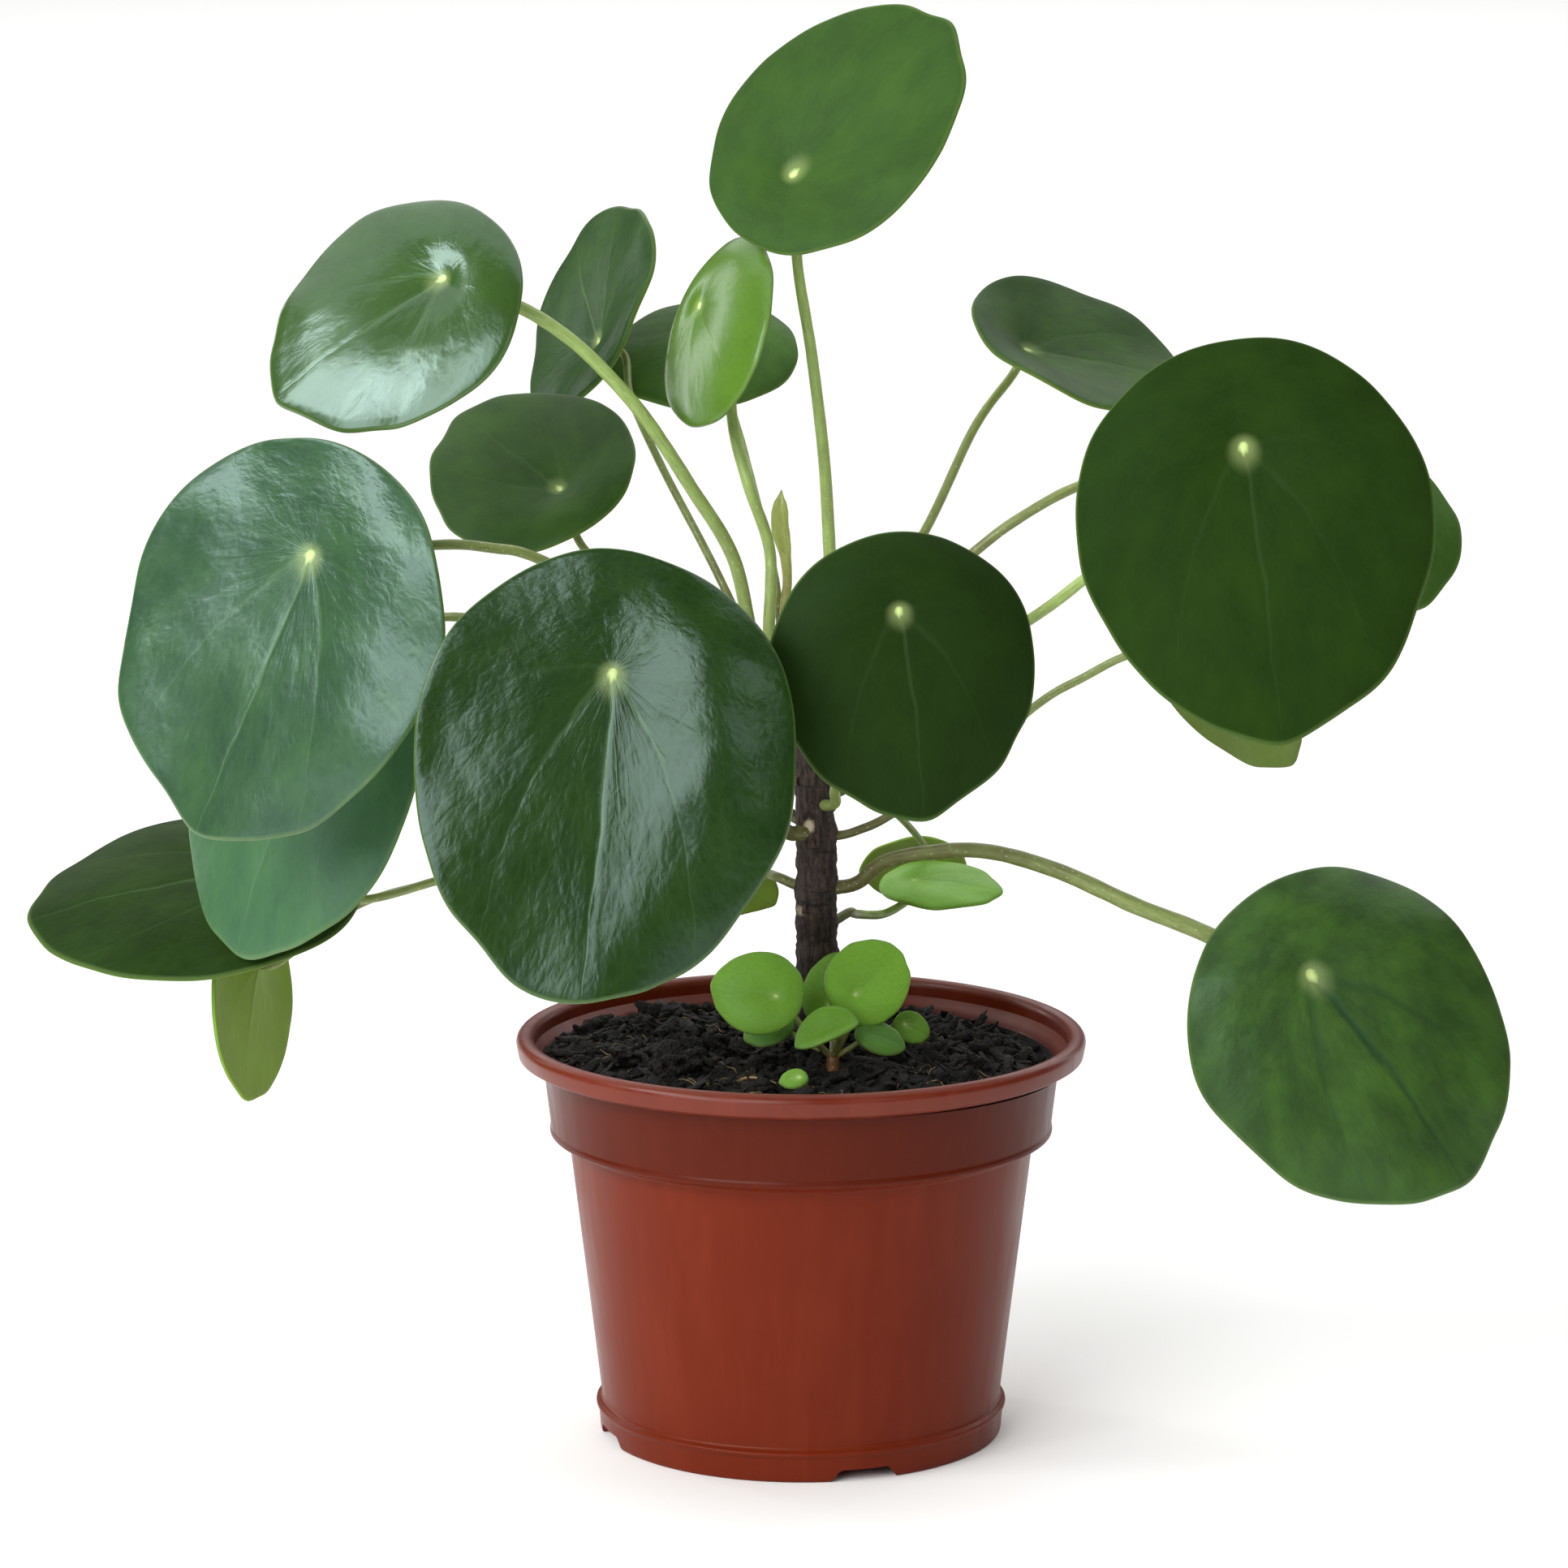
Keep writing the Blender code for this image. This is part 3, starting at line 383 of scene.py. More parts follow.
class PotSettings(bpy.types.PropertyGroup):
    """The pot's fineness and colours"""
    sides: count_setting("Sides", "Steps round the pot", 180, 24)
    plastic: colour_setting("Plastic", "Coloured polypropylene", "#66200A")
    worn: colour_setting("Worn plastic", "Where the surface is scuffed or dusty", "#782E18")


class StageSettings(bpy.types.PropertyGroup):
    """The stage's lights and camera"""
    paper: colour_setting("Paper", "The pale floor", "#FAFAF9")
    window: FloatProperty(name="Window", description="How bright the lights at the left look", default=7.0)
    ceiling: FloatProperty(name="Ceiling", description="How bright the panel overhead looks", default=1.5)
    camera_place: FloatVectorProperty(name="Camera", description="Where the camera stands",
                                      subtype="TRANSLATION", default=(-0.0036, -1.2, 0.359), unit="LENGTH")
    camera_pitch: FloatProperty(name="Pitch", description="How far the camera looks down", subtype="ANGLE",
                                default=math.radians(10.4), unit="ROTATION")
    focal_length: FloatProperty(name="Focal length", description="The camera's lens on a 36 mm sensor",
                                default=133.97, unit="CAMERA")


def node(tree, kind, inputs=(), out=0, **settings):
    """Adds a shader node, gives it its settings, fills or links its inputs, and returns one of its
    outputs. The inputs are given by name or place, or in a row from the first one on."""
    made = tree.nodes.new("ShaderNode" + kind)
    for name, value in settings.items():
        setattr(made, name, value)
    for name, value in inputs.items() if isinstance(inputs, dict) else enumerate(inputs):
        if isinstance(value, bpy.types.NodeSocket):
            tree.links.new(value, made.inputs[name])
        else:
            made.inputs[name].default_value = value
    return made.outputs[out]


# Places of the colour mix's sockets, and the setting of a range with soft ends. A range's inputs are
# its value, the lowest and highest value that it takes, and what it gives for them
MIX_A = 6
MIX_B = 7
MIX_OUT = 2
SOFT = {"interpolation_type": "SMOOTHSTEP"}


def opaque(colour, light=1.0):
    """A colour with its alpha, made lighter or darker."""
    return (*(min(1.0, channel * light) for channel in colour), 1.0)


def new_material(name, colour, roughness, **inputs):
    """A material with one Principled shader, and its node tree."""
    made = bpy.data.materials.new(name)
    made.use_nodes = True
    shader = made.node_tree.nodes["Principled BSDF"]
    for socket, value in {"Base_Color": opaque(colour), "Roughness": roughness, **inputs}.items():
        shader.inputs[socket.replace("_", " ")].default_value = value
    return made, made.node_tree


def surface(made, colour, layers, height=None, strength=1.0, depth=0.0, **linked):
    """Gives a material its colours and its relief. layers: the colours over the first one, each with
    the socket of its share. depth: the relief's, in millimetres. linked: other sockets that vary."""
    tree = made.node_tree
    for share, over in layers:
        colour = node(tree, "Mix", {0: share, MIX_A: colour, MIX_B: over}, MIX_OUT, data_type="RGBA")
    linked["Base_Color"] = colour
    if height is not None:
        relief = {"Strength": strength, "Distance": depth * MM, "Height": height}
        linked["Normal"] = node(tree, "Bump", relief, "Normal")
    for name, socket in linked.items():
        tree.links.new(socket, tree.nodes["Principled BSDF"].inputs[name.replace("_", " ")])
    return made


def direction(bearing):
    """The level unit vector at a bearing, anticlockwise from +X."""
    return Vector((math.cos(math.radians(bearing)), math.sin(math.radians(bearing)), 0.0))


def blend(values, share):
    """The value at a share from 0 to 1 along a row of values."""
    place = share * (len(values) - 1)
    low = min(int(place), len(values) - 2)
    return values[low] + (values[low + 1] - values[low]) * (place - low)


CURVE_STEPS = 16


def smooth_route(points, spacing):
    """Evenly spaced points on a smooth curve through the given ones (a Catmull-Rom spline)."""
    points = [Vector(point) for point in points]
    guides = [2 * points[0] - points[1], *points, 2 * points[-1] - points[-2]]
    fine = []
    for before, start, end, after in zip(guides, guides[1:], guides[2:], guides[3:]):
        for step in range(CURVE_STEPS):
            t = step / CURVE_STEPS
            fine.append(0.5 * (2 * start + (end - before) * t
                               + (2 * before - 5 * start + 4 * end - after) * t ** 2
                               + (3 * start - before - 3 * end + after) * t ** 3))
    fine.append(points[-1])
    travelled = [0.0]
    for start, end in zip(fine, fine[1:]):
        travelled.append(travelled[-1] + (end - start).length)
    count = max(3, round(travelled[-1] / spacing))
    even = []
    at = 0
    for number in range(count + 1):
        wanted = travelled[-1] * number / count
        while at < len(fine) - 2 and travelled[at + 1] < wanted:
            at += 1
        share = (wanted - travelled[at]) / (travelled[at + 1] - travelled[at])
        even.append(fine[at].lerp(fine[at + 1], min(1.0, share)))
    return even


def tube(route, radii, sides, start_axis=None, end_axis=None):
    """A closed tube along a route. Each point keeps its place on the straightened stem, in millimetres
    along and across it, and its share of the way along, for the patterns that follow the stem."""
    last = len(route) - 1
    axes = [(after - before).normalized() for before, after in
            zip([route[0], *route[:-1]], [*route[1:], route[-1]])]
    axes[0] = start_axis or axes[0]
    axes[-1] = end_axis or axes[-1]
    bm = bmesh.new()
    straight = bm.verts.layers.float_vector.new(STRAIGHT)
    along = bm.verts.layers.float.new(SHARE)
    facing = Matrix.Translation(route[0]) @ axes[0].to_track_quat("Z", "Y").to_matrix().to_4x4()
    bmesh.ops.create_circle(bm, cap_ends=True, segments=sides, radius=radii(0.0), matrix=facing)
    face = bm.faces[:][0]
    for vert in face.verts:
        vert[straight] = facing.inverted() @ vert.co
    travelled = 0.0
    for number in range(1, len(route)):
        grown = bmesh.ops.extrude_face_region(bm, geom=[face])["geom"]
        if number > 1:
            bmesh.ops.delete(bm, geom=[face], context="FACES_ONLY")
        face = next(item for item in grown if isinstance(item, bmesh.types.BMFace))
        verts = face.verts[:]
        step = route[number] - route[number - 1]
        travelled += step.length
        turn = axes[number - 1].rotation_difference(axes[number]).to_matrix()
        bmesh.ops.rotate(bm, cent=route[number - 1], matrix=turn, verts=verts)
        bmesh.ops.translate(bm, vec=step, verts=verts)
        growth = radii(number / last) / radii((number - 1) / last)
        bmesh.ops.scale(bm, vec=(growth, growth, growth), verts=verts,
                        space=Matrix.Translation(-route[number]))
        for vert in verts:
            across = vert[straight]
            vert[straight] = (across.x * growth, across.y * growth, travelled)
            vert[along] = number / last
    return bm


def revolve(profile, sides):
    """A solid turned about Z from a profile of (radius, height) points, on the axis at both ends."""
    bm = bmesh.new()
    verts = [bm.verts.new((radius, 0.0, height)) for radius, height in profile]
    edges = [bm.edges.new(pair) for pair in zip(verts, verts[1:])]
    bmesh.ops.spin(bm, geom=verts + edges, cent=(0, 0, 0), axis=UP, angle=TURN, steps=sides,
                   use_merge=True)
    bmesh.ops.remove_doubles(bm, verts=bm.verts[:], dist=0.01)
    return bm


def rounded(profile, radius, steps=3):
    """The profile with its inner corners cut round, by a curve that leaves each side at the radius."""
    points = [Vector(point) for point in profile]
    smooth = [points[0]]
    for before, corner, after in zip(points, points[1:], points[2:]):
        reach = min(radius, (before - corner).length * 0.45, (after - corner).length * 0.45)
        start = corner + (before - corner).normalized() * reach
        end = corner + (after - corner).normalized() * reach
        for step in range(steps + 1):
            t = step / steps
            smooth.append((1 - t) ** 2 * start + 2 * t * (1 - t) * corner + t ** 2 * end)
    smooth.append(points[-1])
    return smooth


def add_to(bm, other, material_index=None):
    """Adds another bmesh to this one, and frees it."""
    if material_index is not None:
        for face in other.faces:
            face.material_index = material_index
    mesh = bpy.data.meshes.new("passing")
    other.to_mesh(mesh)
    other.free()
    bm.from_mesh(mesh)
    bpy.data.meshes.remove(mesh)


def new_object(name, bm):
    """An object from a bmesh in millimetres, with its faces turned outwards."""
    bmesh.ops.recalc_face_normals(bm, faces=bm.faces[:])
    bmesh.ops.scale(bm, vec=(MM, MM, MM), verts=bm.verts[:])
    mesh = bpy.data.meshes.new(name)
    bm.to_mesh(mesh)
    bm.free()
    return bpy.data.objects.new(name, mesh)


def finish_piece(name, bm, materials, nodes):
    """A finished piece from a bmesh in millimetres, with its materials and its place in the frame."""
    piece = new_object(name, bm)
    for material in materials:
        piece.data.materials.append(material)
    piece.data.shade_smooth()
    bpy.context.collection.objects.link(piece)
    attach(piece, "root")
    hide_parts(*nodes)
    return piece


def trunk_middle(height):
    """The middle of the trunk, or of its green tip, at a height."""
    route = [Vector(point) for point in (*TRUNK_ROUTE, *TIP_ROUTE)]
    for low, high in zip(route, route[1:]):
        if height <= high.z:
            return low.lerp(high, (height - low.z) / (high.z - low.z))
    return route[-1]


def trunk_radius(height):
    """The trunk's plain radius at a height, without its scars."""
    heights = [point[2] for point in (*TRUNK_ROUTE, *TIP_ROUTE)]
    radii = (*TRUNK_RADII, *TIP_RADII)
    for number in range(len(heights) - 1):
        if height <= heights[number + 1]:
            share = (height - heights[number]) / (heights[number + 1] - heights[number])
            return radii[number] + (radii[number + 1] - radii[number]) * share
    return radii[-1]


def leaf_frame(leaf):
    """A leaf's own axes at its hub: +X to the tip, +Y sideways, and +Z the way the upper side faces."""
    turn, lift, tip = (math.radians(angle) for angle in (leaf.turn, leaf.lift, leaf.tip))
    normal = Vector((math.sin(turn) * math.cos(lift), -math.cos(turn) * math.cos(lift), math.sin(lift)))
    downhill = (normal * normal.z - UP).normalized()
    to_tip = math.cos(tip) * downhill + math.sin(tip) * normal.cross(downhill)
    axes = Matrix((to_tip, normal.cross(to_tip), normal)).transposed()
    return Matrix.Translation(leaf.hub) @ axes.to_4x4()


def hub_bulge(leaf, share):
    """How far the blade stands up round its hub and falls towards its edge, at a share of the way out."""
    return 4 * BULGE * leaf.length / LARGE_LEAF * share * (1 - share) - leaf.dome * share ** 2


def blade_point(leaf, flat):
    """Takes a point of the unit disc to its place on the leaf's upper side, in the leaf's own axes."""
    share = flat.length
    if share < 1e-6:
        return Vector((0.0, 0.0, 0.0))
    angle = math.atan2(flat.y, flat.x)
    along = leaf.length * (0.5 - HUB_SHARE + 0.5 * math.cos(angle))
    along += TIP_POINT * leaf.length / LARGE_LEAF * math.exp(-(angle / TIP_HALF_ANGLE) ** 2)
    across = leaf.width / 2 * math.sin(angle) * (1 - EGG_SHAPE * math.cos(angle))
    spot = Vector((EDGE_LOBES * math.cos(angle), EDGE_LOBES * math.sin(angle), leaf.length))
    uneven = 1 + UNEVEN_EDGE * share ** 2 * noise.noise(spot)
    rise = hub_bulge(leaf, share) - leaf.bend * (share * math.sin(angle)) ** 2
    rise += leaf.wave * share ** 3 * math.sin(EDGE_WAVES * angle + leaf.length)
    return Vector((share * along * uneven, share * across * uneven, rise))


def vein_angle(flat):
    """A point's angle about the hub, with the veins' curve towards the tip taken out of it."""
    angle = math.atan2(flat.y, flat.x)
    return angle + VEIN_CURL * math.sin(angle) * flat.length_squared


def blade_relief(leaf, look, flat, point):
    """How far the upper side stands up at a point: sunken main veins, and flesh quilted between them."""
    settings = bpy.context.scene.plant_leaves
    share = flat.length
    spacing = math.radians(VEIN_SPACING)
    curved = vein_angle(flat)
    off = abs((curved + spacing / 2) % spacing - spacing / 2)
    distance = off * share * leaf.width / 2
    width = settings.vein_width / MM * (1.1 - 0.5 * share) * min(1.0, leaf.length / 40)
    weight = (0.12 + 0.88 * (0.5 + 0.5 * math.cos(curved)) ** 3) * (1 - 0.5 * share)
    furrow = settings.vein_depth / MM * weight * math.exp(-(distance / width) ** 2) * min(1.0, share * 6)
    furrow *= min(1.0, look.quilt / 0.3)
    bulge = look.quilt * (1 - math.cos(off * TURN / spacing)) * 0.6 * min(1.0, share * 2)
    cell = 4.5 * leaf.length / LARGE_LEAF + 1.0
    nearest = noise.voronoi(Vector((point.x / cell, point.y / cell, leaf.length)))[0]
    pillow = min(0.5, nearest[1] - nearest[0]) * 2
    swell = noise.noise(Vector((point.x / SWELL_SIZE, point.y / SWELL_SIZE, leaf.width)))
    roll = noise.noise(Vector((point.x / ROLL_SIZE, point.y / ROLL_SIZE, leaf.hub[0])))
    uneven = look.quilt * (0.35 * (pillow - 0.5) + 0.8 * swell + 2.6 * roll + bulge)
    inner = min(1.0, share * 3) * min(1.0, (1 - share) * 10)
    return uneven * inner - furrow * min(1.0, (1 - share) * 8)


def fold_rise(look, flat):
    """How far the blade's two halves rise beside the crease that runs through the hub, which is sharp
    behind the hub and softens towards the tip."""
    softness = 0.006 + 0.05 * min(1.0, max(0.0, flat.x * 2))
    return look.fold * (math.sqrt(flat.y ** 2 + softness) - math.sqrt(softness))


def flat_half(leaf, look, flat):
    """How far the flatter left half lies below the bulge of the right one, from the crease outwards."""
    side = 1 - min(1.0, max(0.0, flat.y) / 0.65)
    return look.flat * hub_bulge(leaf, flat.length) * side * side * (3 - 2 * side)


def ring_shares(leaf, thickness):
    """Where a blade's rings lie, from the hub to the edge: even, then close together round the edge."""
    spacing = bpy.context.scene.plant_leaves.ring_spacing / MM * (1.0 if leaf.length > SMALL_LEAF else 0.8)
    radius = leaf.width / 2
    flat_end = 1 - thickness / 2 / radius
    count = max(5, round(radius * flat_end / spacing))
    even = [flat_end * (number + 1) / count for number in range(count)]
    return [*even, *(1 - (1 - flat_end) * (1 - math.sin(math.radians(angle))) for angle in (35, 62, 90))]


def blade_solid(leaf, look):
    """A blade: a disc grown ring by ring, doubled, shaped into an upper side and an underside that meet
    in a round edge. Each point keeps its place on the flat disc, for the patterns that follow the veins."""
    thickness = SMALL_BLADE_THICKNESS if leaf.length < SMALL_LEAF else BLADE_THICKNESS
    settings = bpy.context.scene.plant_leaves
    points = round(settings.rim_points * min(1.0, max(0.3, leaf.length / 66)) / 8) * 8
    shares = ring_shares(leaf, thickness)
    bm = bmesh.new()
    flat_layer = bm.verts.layers.float_vector.new(FLAT)
    bmesh.ops.create_circle(bm, cap_ends=True, cap_tris=True, segments=points, radius=shares[0])
    edge = [item for item in bm.edges if item.is_boundary]
    for inner, outer in zip(shares, shares[1:]):
        grown = bmesh.ops.extrude_edge_only(bm, edges=edge)["geom"]
        verts = [item for item in grown if isinstance(item, bmesh.types.BMVert)]
        edge = [item for item in grown if isinstance(item, bmesh.types.BMEdge) and item.is_boundary]
        bmesh.ops.scale(bm, vec=(outer / inner, outer / inner, 1.0), verts=verts)
    for vert in bm.verts:
        vert[flat_layer] = vert.co
    twin = bmesh.ops.duplicate(bm, geom=bm.verts[:] + bm.edges[:] + bm.faces[:])["geom"]
    lower = {item for item in twin if isinstance(item, bmesh.types.BMVert)}
    for item in twin:
        if isinstance(item, bmesh.types.BMFace):
            item.material_index = 1
    flat_end = shares[-4]
    for vert in bm.verts:
        flat = vert[flat_layer]
        share = flat.length
        point = blade_point(leaf, flat)
        point.z += fold_rise(look, flat) - flat_half(leaf, look, flat)
        inset = max(0.0, (share - flat_end) / (1 - flat_end))
        half = thickness / 2 * math.sqrt(max(0.0, 1 - inset ** 2))
        relief = blade_relief(leaf, look, flat, point) if share < flat_end else 0.0
        point.z += relief - thickness / 2 - half if vert in lower else relief - thickness / 2 + half
        vert.co = point
    bmesh.ops.remove_doubles(bm, verts=bm.verts[:], dist=0.002)
    bmesh.ops.transform(bm, matrix=leaf_frame(leaf), verts=bm.verts[:])
    return bm


def leaf_look(leaf):
    """The look of a leaf: its own, or the one that all small leaves share."""
    return LOOKS.get(leaf.name, LOOKS["small"])


def vein_pattern(tree, leaf, look):
    """The sockets of a leaf's pattern: its place on the flat disc, the same in millimetres, the share of
    the way to the edge, the distance from the hub in millimetres, the main veins, and the fine ones."""
    radius = leaf.width / 2
    flat = node(tree, "Attribute", attribute_name=FLAT, out="Vector")
    spread = node(tree, "VectorMath", {0: flat, "Scale": radius}, operation="SCALE")
    wobble = node(tree, "TexNoise", {"Vector": flat, "Scale": 3.5, "Detail": 2.0}, "Color")
    wobble = node(tree, "VectorMath", (wobble, (0.5, 0.5, 0.5)), operation="SUBTRACT")
    place = node(tree, "VectorMath", (wobble, (0.11, 0.11, 0.0), flat), operation="MULTIPLY_ADD")
    share = node(tree, "VectorMath", (flat,), "Value", operation="LENGTH")
    across = node(tree, "SeparateXYZ", (place,))
    angle = node(tree, "Math", (across.node.outputs[1], across), operation="ARCTAN2")
    # Main veins fan out from the hub and curve towards the tip, the strongest along the midrib
    lean = node(tree, "Math", (angle,), operation="SINE")
    pull = node(tree, "Math", (share, share), operation="MULTIPLY")
    pull = node(tree, "Math", (pull, VEIN_CURL), operation="MULTIPLY")
    curved = node(tree, "Math", (lean, pull, angle), operation="MULTIPLY_ADD")
    off = node(tree, "Math", (curved, math.radians(VEIN_SPACING) / 2), operation="PINGPONG")
    reach = node(tree, "Math", (share, radius), operation="MULTIPLY")
    distance = node(tree, "Math", (off, reach), operation="MULTIPLY")
    broad = DARK_VEIN_BREADTH if look.vein < -0.5 else 1.0
    width = node(tree, "MapRange", (share, 0.0, 1.0, broad, 0.45 * broad))
    main = node(tree, "MapRange", (distance, 0.0, width, 1.0, 0.0), **SOFT)
    weight = node(tree, "Math", (curved,), operation="COSINE")
    weight = node(tree, "MapRange", (weight, -1.0))
    weight = node(tree, "Math", (weight, 3.0), operation="POWER")
    weight = node(tree, "MapRange", (weight, 0.0, 1.0, 0.12))
    fade = node(tree, "MapRange", (share, 0.2, 1.0, 1.0, 0.35))
    for part in (weight, fade):
        main = node(tree, "Math", (main, part), operation="MULTIPLY")
    # Side veins leave the main ones every few millimetres and lean outwards, over a net of fine cells
    step = node(tree, "Math", (distance, -0.9, reach), operation="MULTIPLY_ADD")
    spacing = SIDE_VEIN_SPACING * leaf.length / LARGE_LEAF
    step = node(tree, "Math", (step, 1 / spacing), operation="MULTIPLY")
    step = node(tree, "Math", (step, 0.5), operation="PINGPONG")
    side = node(tree, "MapRange", (step, 0.0, 0.09, 0.5, 0.0), **SOFT)
    cells = node(tree, "VectorMath", {0: place, "Scale": radius / VEIN_CELL}, operation="SCALE")
    cells = node(tree, "TexVoronoi", {"Vector": cells, "Scale": 1.0}, feature="DISTANCE_TO_EDGE")
    net = node(tree, "MapRange", (cells, 0.0, 0.3, 0.6, 0.0), **SOFT)
    fine = node(tree, "Math", (side, net), operation="MAXIMUM")
    fade = node(tree, "MapRange", (share, 0.1, 0.35))
    fine = node(tree, "Math", (fine, fade), operation="MULTIPLY")
    return flat, spread, share, reach, main, fine


def wrinkles(tree, flat, share, radius):
    """The height of the skin's fine wrinkles, which fan out from the hub: noise on a cylinder round it,
    so that each wrinkle is about a millimetre wide halfway out, and three long."""
    place = node(tree, "VectorMath", (flat,), operation="NORMALIZE")
    place = node(tree, "VectorMath", {0: place, "Scale": radius / 2 / WRINKLE_SIZE[0]}, operation="SCALE")
    reach = node(tree, "Math", (share, radius / WRINKLE_SIZE[1]), operation="MULTIPLY")
    reach = node(tree, "CombineXYZ", {2: reach})
    place = node(tree, "VectorMath", (place, reach), operation="ADD")
    fan = node(tree, "TexNoise", {"Vector": place, "Scale": 0.6, "Detail": 2.0, "Distortion": 0.8})
    skin = node(tree, "VectorMath", {0: flat, "Scale": radius / SKIN_CELL}, operation="SCALE")
    skin = node(tree, "TexNoise", {"Vector": skin, "Scale": 1.0, "Detail": 3.0, "Distortion": 0.4})
    return node(tree, "Math", (skin, 1.6, fan), operation="MULTIPLY_ADD")


def leaf_upper(leaf):
    """Leaf cuticle, grown and waxed by the plant: a soft broad shine over mottled green flesh, with
    veins a shade lighter or darker than the blade and a pale spot where the stalk comes through."""
    settings = bpy.context.scene.plant_leaves
    look = leaf_look(leaf)
    radius = leaf.width / 2
    base = Vector(getattr(settings, OWN_COLOURS.get(leaf.name, leaf.tone)))
    ripe = base.lerp(Vector(settings.bright), 0.14)
    made, tree = new_material("Leaf cuticle " + leaf.name, base, look.rough, IOR=1.45,
                              Specular_IOR_Level=0.5 * look.shine, Specular_Tint=(*settings.bloom, 1.0))
    flat, spread, share, reach, main, fine = vein_pattern(tree, leaf, look)
    blotch = node(tree, "TexNoise", {"Vector": spread, "Scale": 1 / BLOTCH_SIZE, "Detail": 5.0,
                                     "Roughness": 0.6})
    blotch = node(tree, "MapRange", (blotch, 0.38, 0.66, 0.0, look.mottle))
    grain = node(tree, "TexNoise", {"Vector": spread, "Scale": 1 / SKIN_GRAIN, "Detail": 2.0})
    grain = node(tree, "MapRange", (grain, 0.35, 0.75, 0.0, 0.12))
    lines = node(tree, "Math", (fine, 0.12, main), operation="MULTIPLY_ADD")
    lines = node(tree, "Math", (lines, abs(look.vein)), operation="MULTIPLY", use_clamp=True)
    star = node(tree, "Math", (main, -0.4 * look.hub, reach), operation="MULTIPLY_ADD")
    star = node(tree, "MapRange", (star, 0.0, 1.2 * look.hub + 0.01, 1.0, 0.0), **SOFT)
    glow = node(tree, "MapRange", (reach, 0.0, 3.2 * look.hub + 0.01, 0.3, 0.0), **SOFT)
    star = node(tree, "Math", (star, glow), operation="MAXIMUM")
    rim = node(tree, "MapRange", (share, 1 - LEAF_RIM_WIDTH / radius, 1.0, 0.0, 0.4))
    height = wrinkles(tree, flat, share, radius)
    for veins, rise in ((fine, -0.25), (main, -0.5)):
        height = node(tree, "Math", (veins, rise, height), operation="MULTIPLY_ADD")
    layers = (
        (blotch, opaque(ripe, 1.5 * look.light)),
        (grain, opaque(base, 2.2 * look.light)),
        (lines, opaque(settings.dark_vein if look.vein < 0 else settings.pale_vein)),
        (star, opaque(settings.hub)),
        (rim, opaque(settings.edge)),
    )
    return surface(made, opaque(base, look.light), layers, height, 1.0, 0.35 * look.quilt)


def leaf_under(leaf):
    """Leaf underside, grown: paler and more matt than the upper side, with the veins standing out."""
    settings = bpy.context.scene.plant_leaves
    look = leaf_look(leaf)
    base = Vector(settings.underside).lerp(Vector(getattr(settings, leaf.tone)), 0.3)
    light = 0.8 if leaf.tone in ("dark", "blue") else look.light
    made, tree = new_material("Leaf underside " + leaf.name, base, 0.6, IOR=1.4)
    _flat, spread, _share, _reach, main, fine = vein_pattern(tree, leaf, look)
    blotch = node(tree, "TexNoise", {"Vector": spread, "Scale": 1 / UNDER_BLOTCH_SIZE, "Detail": 4.0})
    lines = node(tree, "Math", (fine, 0.3, main), operation="MULTIPLY_ADD")
    lines = node(tree, "Math", (lines, 0.3), operation="MULTIPLY", use_clamp=True)
    height = node(tree, "Math", (main, fine), operation="ADD")
    layers = ((blotch, opaque(base, 1.15 * light)), (lines, opaque(settings.edge)))
    return surface(made, opaque(base, 0.8 * light), layers, height, 0.5, 0.2)


def stalk_skin(name, root, tip):
    """Stalk skin, grown: smooth and slightly glossy, greener towards the blade, with tiny pale pores
    and faint lines along it."""
    made = bpy.data.materials.get(name)
    if made:
        return made
    settings = bpy.context.scene.plant_stalks
    made, tree = new_material(name, tip, 0.42, Coat_Weight=0.15, Coat_Roughness=0.3, IOR=1.42)
    place = node(tree, "Attribute", attribute_name=STRAIGHT, out="Vector")
    share = node(tree, "Attribute", attribute_name=SHARE, out="Fac")
    green = node(tree, "TexNoise", {"Vector": place, "Scale": 0.22, "Detail": 3.0})
    green = node(tree, "Math", (green, 0.8, share), operation="MULTIPLY_ADD")
    green = node(tree, "MapRange", (green, 0.35, 1.1), **SOFT)
    lines = node(tree, "VectorMath", (place, (2.4, 2.4, 0.35)), operation="MULTIPLY")
    lines = node(tree, "TexNoise", {"Vector": lines, "Scale": 1.0, "Detail": 3.0})
    shade = node(tree, "MapRange", (lines, 0.4, 0.75, 0.0, 0.45))
    pores = node(tree, "VectorMath", (place, (1.1, 1.1, 0.7)), operation="MULTIPLY")
    pores = node(tree, "TexVoronoi", {"Vector": pores, "Scale": 1.0})
    pores = node(tree, "MapRange", (pores, 0.1, 0.24, 0.6, 0.0))
    layers = ((green, opaque(tip)), (shade, opaque(root, 0.55)), (pores, opaque(settings.freckle)))
    return surface(made, opaque(root), layers, lines, 0.4, 0.1)


